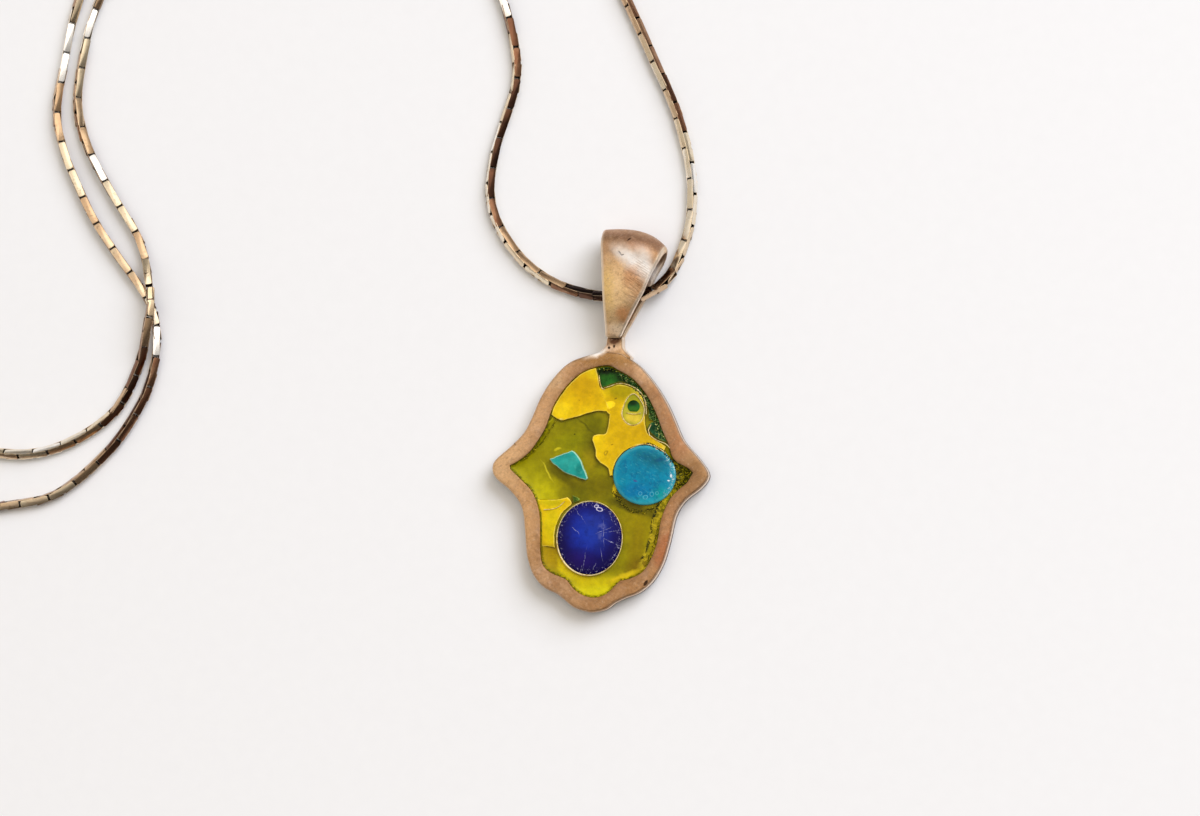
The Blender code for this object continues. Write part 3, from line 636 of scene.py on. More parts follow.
def rim_ring(row, outer, inner):
    """One ring of the plate: its points with their marks for wear with painted light, and for painted shade.
    """
    if row.outline == "outer":
        loop = grown(outer, -row.inset * MM)
    elif row.outline == "inner":
        loop = grown(inner, row.inset * MM)
    else:
        loop = [a.lerp(b, row.inset) for a, b in zip(outer, inner)]
    ring = []
    for point in loop:
        uneven = sum(noise.noise(point.to_3d() / size) * reach for size, reach in RIM_WAVES)
        height = row.height * MM + (uneven if row.height > UNEVEN_ABOVE else 0.0)
        ring.append(((point.x, point.y, height), row.worn, row.shade))
    return ring


def skinned(rings):
    """A closed body through rings of points, which keep their marks for wear with painted light and for
    painted shade.
    """
    work = bmesh.new()
    wear_and_light_layer = work.verts.layers.float.new("worn")
    shade_layer = work.verts.layers.float.new("shade")
    made = []
    for ring in rings:
        made.append([])
        for co, worn, shade in ring:
            vertex = work.verts.new(co)
            vertex[wear_and_light_layer], vertex[shade_layer] = worn, shade
            made[-1].append(vertex)
    for lower, upper in zip(made, made[1:]):
        for i in range(len(lower)):
            j = (i + 1) % len(lower)
            work.faces.new((lower[i], lower[j], upper[j], upper[i]))
    work.faces.new(made[0][::-1])
    work.faces.new(made[-1])
    return work


def make_plate():
    outer, inner = quarters(rim_outer), quarters(rim_inner)
    return new_object("plate", skinned([rim_ring(row, outer, inner) for row in RIM_ROWS]))


plate = make_plate()
print("plate", len(plate.data.polygons), "faces")

# %% [markdown]
# The bail is one strip of metal, narrow at the neck and wide at the fold. A rounded
# rectangle, the strip's cross-section, is swept along the folded course: up the back,
# over the fold and down the front to the tip. The front is slightly crowned and bellied,
# as hand-formed sheet is. Each point of the section also notes whether it lies on an
# edge, which the finish paints paler as wear with a painted highlight, or on the inside,
# which it paints as shade. The neck is a flat outline that flares into the plate, like
# the solder that holds it.

# %% Bail and neck
NECK_X, NECK_TOP = 0.45 * MM, 16.91 * MM
BAIL_HEIGHT, BAIL_WIDTH, BAIL_DEPTH = 12.85 * MM, 7.9 * MM, 4.6 * MM
BAIL_WALL, BAIL_LIFT, BAIL_ROOT = 0.8 * MM, 0.2 * MM, 1.53 * MM
BAIL_TIP_HEIGHT = 2.78 * MM
BAIL_DROOP, BAIL_TIP_TAPER, BAIL_TIP_ROUND = 0.148, 0.25, 0.6 * MM
BAIL_CROWN = 0.34 * MM
BAIL_BELLY = 0.46 * MM
CROWN_FADES = 4 * MM
DENT_SIZE, DENT_DEPTH = 2.2 * MM, 0.07 * MM
TIP_THICKNESS, TIP_THINS, TIP_WEAR_AND_LIGHT = 0.45, 0.3 * MM, 0.35 * MM
BailRow = namedtuple("BailRow", "height left right")
BAIL_SIDES = table(
    BailRow,
    (-0.20, 0.105, 0.110),
    (0.00, 0.108, 0.124),
    (0.08, 0.112, 0.170),
    (0.30, 0.148, 0.322),
    (0.50, 0.178, 0.462),
    (0.68, 0.203, 0.556),
    (0.84, 0.226, 0.668),
    (1.00, 0.228, 0.762),
)
NeckPoint = namedtuple("NeckPoint", "left right y")
NECK_SIDES = table(
    NeckPoint,
    (-0.30, 1.55, 17.10),
    (-0.40, 1.58, 16.70),
    (-0.42, 1.58, 16.25),
    (-0.62, 1.68, 15.80),
    (-0.95, 2.00, 15.42),
    (-1.35, 2.34, 15.12),
    (-1.70, 2.70, 14.80),
    (-1.70, 2.70, 14.50),
    (-1.40, 2.30, 14.00),
)


def side_at(height, column):
    """A bail's edge at a height, smooth between the rows."""
    for lower, upper in zip(BAIL_SIDES, BAIL_SIDES[1:]):
        if height <= upper.height:
            share = max(0.0, (height - lower.height) / (upper.height - lower.height))
            return getattr(lower, column) * (1 - share) + getattr(upper, column) * share
    return getattr(BAIL_SIDES[-1], column)


def folded(along):
    """Height and depth, how far over the fold, and what is left, at a share of the length."""
    radius = (BAIL_DEPTH - BAIL_WALL) / 2
    behind = BAIL_LIFT + BAIL_WALL / 2
    fold = Vector((BAIL_HEIGHT - BAIL_DEPTH / 2, behind + radius))
    tip = Vector((0.0, BAIL_TIP_HEIGHT))
    reach = tip - fold
    turn = math.atan2(reach.y, reach.x) - math.acos(radius / reach.length) + math.pi / 2

    def on_fold(angle):
        return fold + Vector((math.sin(angle), -math.cos(angle))) * radius

    rise = fold.x + BAIL_ROOT
    front = (tip - on_fold(turn)).length
    travelled = along * (rise + radius * turn + front)
    left = rise + radius * turn + front - travelled
    if travelled < rise:
        return Vector((travelled - BAIL_ROOT, behind)), 0.0, left
    travelled -= rise
    if travelled < radius * turn:
        return on_fold(travelled / radius), travelled / radius / turn, left
    return on_fold(turn).lerp(tip, (travelled - radius * turn) / front), 1.0, left


def front_length():
    """The length of the strip's front, from the fold to the tip."""
    steps = 400
    return max(folded(i / steps)[2] for i in range(steps + 1) if folded(i / steps)[1] == 1.0)


FRONT_LENGTH = front_length()
SectionPoint = namedtuple("SectionPoint", "aside outward worn shade")
EDGE_RADIUS = 0.24 * MM
EDGE_WEAR_AND_LIGHT, EDGE_SHADED = 0.55 * MM, 0.8 * MM
SECTION_STEPS = 18
CORNER_STEPS = 5


def strip_section(width):
    """Points round the strip's cross-section: share of the width, and distance outwards."""
    half = BAIL_WALL / 2
    corner = EDGE_RADIUS / width
    points = []
    for side in (1, -1):
        flat_start, flat_end = corner, 1 - corner
        for k in range(SECTION_STEPS + 1):
            aside = flat_start + (flat_end - flat_start) * k / SECTION_STEPS
            from_edge = min(aside, 1 - aside) * width
            # Near an edge the strip is marked for paler paint, wear with a painted highlight; the inner face
            # is marked for painted shade.
            worn = max(0.0, 1 - from_edge / EDGE_WEAR_AND_LIGHT)
            shade = min(1.0, from_edge / EDGE_SHADED) if side < 0 else 0.0
            points.append(SectionPoint(aside if side > 0 else 1 - aside, side * half, worn, shade))
        forwards = range(1, CORNER_STEPS)
        for face, worn, steps in ((side, 1.0, forwards), (-side, 0.7, reversed(forwards))):
            for k in steps:
                angle = math.radians(k * 90 / CORNER_STEPS)
                aside = flat_end + corner * math.sin(angle)
                outward = face * (half - EDGE_RADIUS + EDGE_RADIUS * math.cos(angle))
                points.append(SectionPoint(aside if side > 0 else 1 - aside, outward, worn, 0.0))
    return points


def bail_ring(along):
    """The section's points in place, at a share of the strip's length."""
    nearby = 0.001
    place, over, left_over = folded(along)
    before, after = folded(max(0.0, along - nearby))[0], folded(min(1.0, along + nearby))[0]
    way = (after - before).normalized()
    outward = Vector((way.y, -way.x))
    height = place.x / BAIL_HEIGHT
    left = -side_at(height, "left") * BAIL_WIDTH
    right = side_at(height, "right") * BAIL_WIDTH
    short = 1 - min(1.0, max(0.0, left_over / BAIL_TIP_ROUND))
    narrow = 1 - BAIL_TIP_TAPER * (1 - math.sqrt(1 - short**2))
    full = math.sqrt(max(0.0, 1 - max(0.0, 1 - left_over / TIP_THINS) ** 2))
    thin = TIP_THICKNESS + (1 - TIP_THICKNESS) * full
    belly = BAIL_BELLY * math.sin(math.pi * left_over / FRONT_LENGTH) ** 2 if over == 1.0 else 0.0
    ring = []
    for point in strip_section(right - left):
        x = (left + right) / 2 + (point.aside - 0.5) * (right - left) * narrow
        droop = 1 - BAIL_DROOP * point.aside**4 if place.x > 0 else 1.0
        crown = BAIL_CROWN * over * (1 - (2 * point.aside - 1) ** 2) * min(1.0, left_over / CROWN_FADES)
        dent = noise.noise(Vector((x, place.x, 0.0)) / DENT_SIZE) * DENT_DEPTH * over
        away = outward * (point.outward * thin + (crown + belly + dent))
        co = (NECK_X + x, NECK_TOP + (place.x + away.x) * droop, place.y + away.y)
        # The tip's edge is marked for paler paint too: wear with a painted highlight.
        tip = max(0.0, 1 - left_over / TIP_WEAR_AND_LIGHT) * over
        ring.append((co, max(point.worn * max(over, 0.8), tip), point.shade))
    return ring


BAIL_STEPS = 150


def make_bail():
    work = skinned([bail_ring(k / BAIL_STEPS) for k in range(BAIL_STEPS + 1)])
    bmesh.ops.recalc_face_normals(work, faces=work.faces)
    return new_object("bail", work)


def curve_body(data):
    """The closed body that a curve's bevel makes, as a mesh to work on."""
    curve = bpy.data.objects.new(data.name, data)
    bpy.context.scene.collection.objects.link(curve)
    mesh = shaped(curve)
    bpy.data.objects.remove(curve)
    work = welded(mesh)
    bmesh.ops.recalc_face_normals(work, faces=work.faces)
    return work


def flat_solid(name, outline, bottom, top, rounding):
    """A slab with this outline and rounded edges."""
    data = bpy.data.curves.new(name, "CURVE")
    data.dimensions = "2D"
    data.fill_mode = "BOTH"
    data.extrude = (top - bottom) / 2 - rounding
    data.bevel_depth = rounding
    data.bevel_resolution = 2
    data.offset = -rounding
    spline = data.splines.new("POLY")
    spline.points.add(len(outline) - 1)
    for target, point in zip(spline.points, outline):
        target.co = (point.x, point.y, 0.0, 1.0)
    spline.use_cyclic_u = True
    work = curve_body(data)
    bmesh.ops.translate(work, verts=work.verts, vec=(0, 0, (top + bottom) / 2))
    return new_object(name, work)


NECK_STEP, NECK_ROUNDING = 0.12 * MM, 0.3 * MM
NECK_FROM, NECK_TO, NECK_WEAR_AND_LIGHT_BELOW = 0.12 * MM, 2.2 * MM, 2.15 * MM


def make_neck():
    left = [Vector((row.left, row.y)) * MM for row in NECK_SIDES]
    right = [Vector((row.right, row.y)) * MM for row in NECK_SIDES]
    outline = redrawn(left + right[::-1], NECK_STEP)
    neck = flat_solid("neck", outline, NECK_FROM, NECK_TO, NECK_ROUNDING)
    # The neck's walls are marked for paler paint: a painted highlight, with wear.
    worn = neck.data.attributes.new("worn", "FLOAT", "POINT")
    for mark, vertex in zip(worn.data, neck.data.vertices):
        mark.value = float(vertex.co.z < NECK_WEAR_AND_LIGHT_BELOW)
    return neck


def marks_of(body):
    """Each point's place with its marks for wear with painted light and for painted shade, 0 where the body
    carries none.
    """
    kept = [body.data.attributes.get(name) for name in ("worn", "shade")]
    marks = []
    for i, vertex in enumerate(body.data.vertices):
        marks.append((vertex.co.copy(), [layer.data[i].value if layer else 0.0 for layer in kept]))
    return marks


def joined(piece, others):
    """The piece fused with the others into one closed body, which keeps all their marks."""
    marks = [mark for body in [piece] + others for mark in marks_of(body)]
    for other in others:
        join = piece.modifiers.new("join " + other.name, "BOOLEAN")
        join.operation = "UNION"
        join.solver = "EXACT"
        join.object = other
    flattened(piece)
    for other in others:
        bpy.data.objects.remove(other)
    tree = tree_of([place for place, _ in marks])
    for i, vertex in enumerate(piece.data.vertices):
        worn, shade = marks[tree.find(vertex.co)[1]][1]
        piece.data.attributes["worn"].data[i].value = worn
        piece.data.attributes["shade"].data[i].value = shade
    return piece


setting = joined(plate, [make_neck(), make_bail()])
setting.name = "setting_metal"
shaded = [item.value for item in setting.data.attributes["shade"].data]
print("setting %d faces, %d points shaded" % (len(setting.data.polygons), sum(v > 0.5 for v in shaded)))

# %% [markdown]
# ### The metal's finish
#
# The alloy is a warm pinkish tan with a satin surface. It is not one colour: handling
# has left yellower and browner clouds, the rim's lower right is redder, and there are
# fine hair scratches, a few deeper ones and a couple of pits. Light is painted in as
# well: paler clouds of painted sheen, painted highlights on the bail and the neck,
# edges and walls painted paler as wear with painted highlight and reflection, and
# painted shade on the fold's top, under the bail's tip and on the faces marked as shaded.
# All of it is worked out from the place on the object, so it stays put from every side.

# %% Satin metal
METAL_PATCHES = table(
    Patch,
    (9.6, -6.0, 4.0, 11.0, 20, 0.6, 0.7, (190, 138, 94)),
    (8.0, -7.6, 0.8, 1.6, -20, 0.6, 0.6, (186, 112, 74)),
    (7.6, -9.2, 0.8, 1.0, -20, 0.6, 0.5, (178, 108, 70)),
    (4.0, -13.5, 7.0, 2.6, 18, 0.6, 0.6, (184, 138, 92)),
    (-10.5, -4.0, 3.0, 9.0, 4, 0.6, 0.7, (222, 176, 124)),
    (-12.0, 1.5, 2.6, 3.0, -30, 0.6, 0.7, (228, 190, 146)),
    (-9.5, 8.0, 3.0, 7.0, -36, 0.6, 0.7, (224, 180, 134)),
    (-8.4, 10.0, 1.4, 0.5, -54, 0.7, 0.5, (176, 132, 92)),
    (-6.5, 11.6, 1.2, 1.0, -46, 0.7, 0.6, (214, 182, 144)),
    (-10.2, 6.4, 1.0, 0.5, -54, 0.7, 0.5, (184, 142, 100)),
    (0.4, 14.3, 4.0, 0.8, 4, 0.6, 0.8, (172, 128, 74)),
    # Painted highlight on the neck.
    (-1.35, 15.0, 1.5, 0.42, 24, 0.7, 0.9, (255, 240, 226)),
    (7.6, 9.4, 3.6, 1.6, -60, 0.6, 0.6, (184, 138, 100)),
    (5.6, 12.4, 1.6, 0.5, -48, 0.7, 0.6, (216, 192, 168)),
    (6.6, 10.2, 1.6, 0.6, -58, 0.7, 0.6, (170, 124, 88)),
    (8.9, 7.0, 1.8, 1.2, -64, 0.7, 0.6, (184, 132, 92)),
    (9.2, 4.4, 1.2, 1.6, -50, 0.7, 0.5, (178, 122, 84)),
    (11.2, 1.0, 2.2, 2.6, 0, 0.7, 0.75, (162, 124, 84)),
    (10.2, -1.8, 1.8, 1.0, 40, 0.7, 0.5, (172, 134, 98)),
    (0.9, 21.2, 1.7, 4.4, 6, 0.7, 0.8, (252, 218, 166)),
    (-0.2, 22.6, 0.7, 2.6, 6, 0.7, 0.7, (240, 204, 132)),
    (1.8, 19.6, 0.9, 1.0, 0, 0.6, 0.8, (230, 164, 110)),
    (2.6, 24.2, 0.8, 1.3, -24, 0.6, 0.5, (206, 150, 108)),
    (1.2, 17.8, 1.2, 0.7, 0, 0.7, 0.8, (255, 232, 204)),
    # Painted shade: a darker band over the curved top of the bail's fold.
    (2.3, 28.5, 5.0, 0.9, -10, 0.6, 0.8, (186, 144, 118)),
    (0.1, 27.8, 1.5, 0.9, 0, 0.7, 0.8, (186, 148, 116)),
    # Painted highlight near the top of the bail's front.
    (1.6, 26.9, 1.4, 0.5, -20, 0.7, 0.7, (250, 232, 218)),
    # Painted shade in the recess under the bail's tip.
    (0.62, 16.66, 0.80, 0.44, 4, 0.6, 0.95, (84, 50, 36)),
    (-0.1, 16.0, 0.22, 0.3, 30, 0.6, 0.8, (96, 62, 46)),
    (0.5, 15.75, 1.1, 0.45, 10, 0.7, 0.6, (232, 200, 172)),
)
NICKS = table(
    Patch,
    (6.1, -11.9, 0.14, 0.34, -30, 0.4),
    (-11.0, 4.15, 0.55, 0.07, -52, 0.5),
    (2.1, 28.5, 0.26, 0.06, 40, 0.5),
    (1.15, 26.8, 0.22, 0.07, -50, 0.5),
    (1.45, 26.6, 0.16, 0.06, 20, 0.5),
    (0.0, 15.75, 0.12, 0.12, 0, 0.5),
    (0.6, 15.95, 0.10, 0.14, 0, 0.5),
)
# Painted highlights: near-white, less metallic patches where the bail's fold and the neck catch the light.
PAINTED_HIGHLIGHTS = table(
    Patch,
    (4.0, 25.6, 1.0, 1.7, 26, 0.95),
    (2.6, 26.2, 1.9, 0.9, -30, 0.95),
    (-1.35, 15.0, 0.8, 0.22, 24, 0.9),
)
STROKES = Patch(3.3, 24.0, 1.5, 2.6, -14, 0.5)
STROKE_TURN = -30


def satin_metal():
    metal = Finish("satin_metal")
    place = metal.place()
    loose = metal.shift(place, 0.6, 1.0)
    cloud = metal.noise(place, 0.45, 5.0, 0.65)
    sheen = metal.noise(place, 0.7, 4.0, 0.6)
    fine = metal.noise(place, 2.2, 5.0, 0.7)
    mottle = metal.noise(place, 4.5, 5.0, 0.75)
    dents = metal.noise(place, 0.9, 3.0, 0.6)
    hair = metal.noise(metal.stretch(place, 0.6, 9.0, 3.0, 40), 1.0, 3.0, 0.7)
    cross = metal.noise(metal.stretch(place, 0.8, 8.0, 3.0, -30), 1.0, 3.0, 0.7)
    rubbed = metal.noise(metal.stretch(place, 0.8, 5.5, 1.0, STROKE_TURN), 1.0, 2.0, 0.5)
    scuffs = metal.ramp(hair, 0.56, 0.72) + metal.ramp(cross, 0.58, 0.74)
    strokes = metal.ramp(rubbed, 0.42, 0.62) * metal.spot(loose, STROKES)
    nicks = any_of(metal.spot(place, patch) for patch in NICKS)
    # Painted highlight, near white and less metallic, over the patches above.
    painted_highlight = any_of(metal.spot(loose, patch) for patch in PAINTED_HIGHLIGHTS) * (0.8 + (fine - 0.5) * 0.8)
    worn, shade = metal.mark("worn"), metal.mark("shade")
    colour = metal.layers(
        paint(206, 166, 128),
        ((180, 138, 100), metal.ramp(cloud, 0.38, 0.64)),
        ((222, 190, 168), metal.ramp(sheen, 0.5, 0.7) * 0.5),
    )
    colour = metal.layers(
        metal.patches(colour, loose, METAL_PATCHES),
        ((138, 96, 64), metal.ramp(fine, 0.52, 0.72) * 0.4),
        ((232, 206, 178), metal.ramp(fine, 0.44, 0.26) * 0.45),
    )
    colour = metal.layers(
        metal.scaled(colour, metal.ramp(mottle, 0.3, 0.7, 0.86, 1.12)),
        ((232, 206, 182), scuffs * 0.3),
        # Paler where marked: wear, with painted highlight on edges and painted reflection on walls.
        ((252, 236, 216), metal.ramp(worn + (fine - 0.5) * 0.4, 0.2, 0.8) * 0.8),
        ((120, 82, 50), metal.ramp(shade, 0.0, 0.5) * 0.5),
        ((84, 48, 30), metal.ramp(shade, 0.5, 0.9) * 0.9),
        ((60, 38, 28), nicks * 0.9),
        ((160, 118, 86), strokes * 0.35),
        ((255, 252, 248), painted_highlight),
    )
    rough = (0.36 + fine * 0.16 - scuffs * 0.08).at_least(0.2)
    relief = metal.relief(
        (dents, 0.12, 0.5),
        (strokes, 0.05, 0.5),
        (fine, 0.03, 0.6),
        (scuffs, 0.02, 0.7),
        (1 - nicks, 0.15, 1.0),
    )
    return metal.surface(colour, rough, 1 - painted_highlight * 0.65, relief)


finished(setting, satin_metal(), "satin_metal", "setting")

# %% [markdown]
# ## Enamel: surfaces that behave like melted glass
#
# Powdered glass melts and pulls itself round at its edges, and it climbs a little where
# it touches the metal. So an enamel piece is a closed solid whose top is not a flat cap.
# Its outline is filled with triangles, even in the middle and in close rows along the
# edge, and each point's height follows from how far inside the outline it lies. That
# distance is also kept on the mesh for the finish to use.

# %% Melted glass
Melt = namedtuple("Melt", "round_over wave wave_size climb")
ROW_SHARES = (0.12, 0.35, 0.65, 1.0)
ROW_HEIGHT = 0.866
JITTER = 0.15
SAG_SHARE = 0.8
ROW_TOLERANCE = 0.93
CLEAR_OF_ROWS = 0.6
CLIMB_REACH = 0.45 * MM


def filled(outline, step, rows):
    """Points with their depth inside the outline, and the triangles between them."""
    tree = tree_of(outline)
    count = len(outline)
    points, depths = list(outline), [0.0] * count
    edges = [(i, (i + 1) % count) for i in range(count)]

    def depth_of(point):
        return tree.find(point.to_3d())[2]

    for row in rows:
        for point in grown(outline, -row):
            if depth_of(point) > row * ROW_TOLERANCE and inside(point, outline):
                points.append(point)
                depths.append(row)
    low = Vector((min(p.x for p in outline), min(p.y for p in outline)))
    high = Vector((max(p.x for p in outline), max(p.y for p in outline)))
    shaken = random.Random(count)
    for j in range(int((high.y - low.y) / step / ROW_HEIGHT) + 1):
        for i in range(int((high.x - low.x) / step) + 1):
            jitter = Vector((shaken.uniform(-JITTER, JITTER), shaken.uniform(-JITTER, JITTER)))
            point = low + (Vector((i + 0.5 * (j % 2), j * ROW_HEIGHT)) + jitter) * step
            depth = depth_of(point)
            if depth > rows[-1] + step * CLEAR_OF_ROWS and inside(point, outline):
                points.append(point)
                depths.append(depth)
    flat, _, faces, sources, _, _ = geometry.delaunay_2d_cdt(points, edges, [], 1, MERGE)
    deep = [min((depths[k] for k in source), default=0.0) for source in sources]
    return flat, deep, faces


def melted_solid(name, outline, bottom, top, melt, step=0.3 * MM):
    """A closed slab of glass whose top rounds over at its edge, waves a little and may climb."""
    rows = [melt.round_over * share for share in ROW_SHARES]
    flat, deep, faces = filled(outline, step, rows)
    work = bmesh.new()
    layer = work.verts.layers.float.new("depth")
    upper, lower = [], []
    for point, depth in zip(flat, deep):
        short = 1 - min(1.0, depth / melt.round_over)
        sag = melt.round_over * (1 - math.sqrt(1 - short**2)) * SAG_SHARE
        climb = melt.climb * math.exp(-depth / CLIMB_REACH)
        wave = noise.noise(Vector((point.x, point.y, top)) / melt.wave_size) * melt.wave
        height = top + (climb if melt.climb else -sag) + wave * (1 - short)
        vertex = work.verts.new((point.x, point.y, height))
        vertex[layer] = depth / MM
        upper.append(vertex)
        lower.append(work.verts.new((point.x, point.y, bottom)))
    for face in faces:
        work.faces.new([upper[i] for i in face])
        work.faces.new([lower[i] for i in face][::-1])
    rim = [edge for edge in work.edges if edge.is_boundary and edge.verts[0].co.z > bottom + MERGE]
    number = {vertex: i for i, vertex in enumerate(upper)}
    for edge in rim:
        loop = edge.link_loops[0]
        a, b = number[loop.vert], number[loop.link_loop_next.vert]
        work.faces.new((upper[b], upper[a], lower[a], lower[b]))
    loose = [vertex for vertex in work.verts if not vertex.link_faces]
    bmesh.ops.delete(work, geom=loose, context="VERTS")
    bmesh.ops.recalc_face_normals(work, faces=work.faces)
    return new_object(name, work)


def node_outline(node):
    """The largest outline of a node, cut half way up."""
    low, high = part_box(node)
    loop = cut_loops(node, low.z + (high.z - low.z) / 2)[0]
    return redrawn(without_straights(loop), 0.12 * MM)


print("melted glass helper ready")

# %% [markdown]
# ### The olive ground
#
# Over most of the recess the ground shows as transparent yellow-green glass, deeper and
# browner where it is thick and bright where the metal shines through, in the bottom lobe
# and at the side tips. It climbs the wall of the recess a little. Along the wall a dark
# line is painted, broken into specks by grit: painted shade in the gap at the wall.

# %% Ground
GLASS_SHINE = 0.10


def glassy(finish, colour, place, rough=0.12, pits=0.35, relief_depth=0.02):
    """Ends an enamel: a soft wave in the gloss, dust-fine pits, and a clear wet shine."""
    wave = finish.noise(place, 0.9, 2.0)
    grain = finish.noise(place, 1.1, 6.0, 0.7)
    pit = finish.fade(finish.cells(place, 2.6), 0.05, 0.11) * pits
    colour = finish.layers(colour, ((60, 55, 8), pit * 0.8))
    colour = finish.scaled(colour, finish.ramp(grain, 0.3, 0.7, 0.84, 1.12))
    waves, grains = (wave, relief_depth * 4, 0.35), (grain, relief_depth * 2, 0.4)
    relief = finish.relief(waves, grains, (1 - pit, 0.03, 0.6))
    return finish.surface(colour, rough + wave * 0.1, 0.0, relief, GLASS_SHINE)


OLIVE_PATCHES = table(
    Patch,
    (-10.0, 0.6, 2.6, 1.6, 10, 0.7, 0.9, (138, 132, 4)),
    (-8.2, -0.6, 2.8, 1.7, -30, 0.7, 0.8, (158, 150, 6)),
    (-6.9, -1.9, 1.6, 1.6, -36, 0.7, 0.7, (186, 176, 8)),
    (-5.5, 6.9, 2.2, 1.3, 20, 0.7, 0.6, (134, 128, 4)),
    (-3.4, 6.3, 3.0, 1.0, 8, 0.7, 0.6, (122, 116, 2)),
    (-4.3, 4.4, 2.6, 1.0, 14, 0.7, 0.5, (120, 124, 2)),
    (-1.2, 6.6, 1.1, 1.5, 30, 0.6, 0.7, (98, 96, 2)),
    (-1.9, 6.0, 1.8, 0.12, -40, 0.6, 0.7, (74, 72, 2)),
    (-1.3, 3.6, 1.2, 2.4, 4, 0.6, 0.8, (98, 92, 4)),
    (-1.7, 2.2, 0.7, 1.2, 14, 0.6, 0.7, (158, 140, 10)),
    (-4.6, 0.0, 2.4, 0.5, -34, 0.6, 0.8, (88, 82, 4)),
    (-0.9, -0.9, 3.4, 1.3, 4, 0.7, 0.8, (100, 90, 2)),
    (-2.8, -1.9, 1.8, 1.0, 10, 0.7, 0.7, (104, 100, 2)),
    (5.1, -4.6, 2.6, 2.8, 4, 0.8, 0.6, (148, 128, 2)),
    (4.6, -8.3, 0.9, 2.8, -4, 0.7, 0.5, (126, 102, 4)),
    (5.6, -9.9, 2.0, 1.0, 10, 0.7, 0.8, (112, 86, 4)),
    (3.4, -2.9, 2.7, 0.6, -14, 0.5, 0.85, (76, 70, 4)),
    (6.6, -3.3, 1.4, 0.7, 20, 0.6, 0.8, (92, 84, 4)),
    (-0.1, -12.5, 3.4, 1.2, 4, 0.7, 0.95, (192, 176, 8)),
    (0.2, -13.2, 2.0, 0.6, 4, 0.6, 0.7, (206, 196, 18)),
    (-5.6, -8.4, 2.0, 0.9, 8, 0.7, 0.9, (160, 134, 4)),
    (-5.4, -9.6, 1.8, 1.3, -16, 0.6, 0.85, (162, 132, 4)),
    (-3.9, -9.9, 0.8, 1.3, 24, 0.5, 0.9, (226, 200, 14)),
    (-2.4, -11.3, 1.8, 0.7, -20, 0.7, 0.8, (200, 178, 6)),
    (3.4, -11.2, 1.9, 0.35, 24, 0.6, 0.85, (206, 178, 22)),
    (1.6, -1.1, 0.3, 0.7, 4, 0.4, 0.95, (216, 186, 14)),
    (1.95, -1.75, 0.7, 0.14, -28, 0.5, 0.9, (46, 42, 4)),
    # Painted shade: a dark strip where the enamel meets the left wall. Then painted highlights: light lines
    # on the enamel's edge ridges.
    (-7.9, 5.4, 0.30, 2.3, -34, 0.5, 0.85, (58, 62, 6)),
    (-7.4, 5.7, 0.12, 1.6, -34, 0.5, 0.8, (196, 184, 40)),
    (-6.6, 0.7, 0.09, 1.3, 34, 0.5, 0.75, (206, 192, 40)),
    (-5.5, 3.4, 0.45, 0.16, 24, 0.4, 0.8, (206, 190, 30)),
    (-3.6, 5.3, 0.10, 0.07, 0, 0.4, 0.9, (30, 32, 4)),
    (-8.6, -4.6, 0.10, 3.2, 12, 0.5, 0.6, (120, 128, 60)),
)
RIGHT_SIDE = Patch(7.6, -5.5, 2.6, 7.6, -6, 0.15)
RIGHT_TIP = Patch(9.6, 1.4, 2.2, 1.8, 0, 0.3)


def olive_enamel():
    olive = Finish("olive_enamel")
    place = olive.place()
    loose = olive.shift(place, 0.9, 0.6)
    depth = olive.mark("depth")
    cloud = olive.noise(place, 0.35, 4.0, 0.6)
    grit = olive.noise(place, 3.4, 5.0, 0.7)
    crumbs = olive.noise(place, 2.0, 6.0, 0.75, 0.6)
    side, tip = olive.spot(place, RIGHT_SIDE), olive.spot(loose, RIGHT_TIP)
    # Painted shade in the gap along the wall, broken into specks.
    wall_shade_and_grit = olive.fade(depth, 0.06, 0.34) * olive.ramp(grit, 0.38, 0.56)
    lumpy = side * olive.fade(depth, 0.9, 1.3)
    crack = side * olive.ramp(depth, 0.75, 0.95) * olive.fade(depth, 1.05, 1.3)
    colour = olive.blend(paint(150, 138, 4), paint(128, 120, 2), olive.ramp(cloud, 0.3, 0.7))
    colour = olive.layers(
        olive.patches(colour, loose, OLIVE_PATCHES),
        ((58, 60, 6), wall_shade_and_grit * 0.85),
        ((190, 166, 30), lumpy * olive.ramp(crumbs, 0.53, 0.44) * 0.8),
        ((30, 34, 4), crack * olive.ramp(crumbs, 0.44, 0.54) * 0.95),
        ((38, 48, 6), tip * olive.ramp(crumbs, 0.46, 0.54) * 0.95),
        ((206, 184, 34), tip * olive.ramp(crumbs, 0.42, 0.34) * 0.9),
    )
    return glassy(olive, colour, place)


GROUND_TOP = 1.74 * MM
GROUND_STEP, GROUND_INSET = 0.2 * MM, 0.01 * MM
GROUND_MELT = Melt(0.3 * MM, 0.07 * MM, 2.0 * MM, 0.36 * MM)
ground_outline = redrawn(grown(rim_loops[1], -GROUND_INSET), GROUND_STEP)
ground = melted_solid("ground_enamel", ground_outline, RECESS_FLOOR, GROUND_TOP, GROUND_MELT)
finished(ground, olive_enamel(), "olive_enamel", "enamel_ground")

# %% [markdown]
# ### The fields and chips
#
# Opaque yellow, green and teal glass lies on the ground. In the CAD each field keeps a
# gap to its neighbours; fired glass has none, so here the outlines grow by half that gap
# and the fields reach down into the ground.

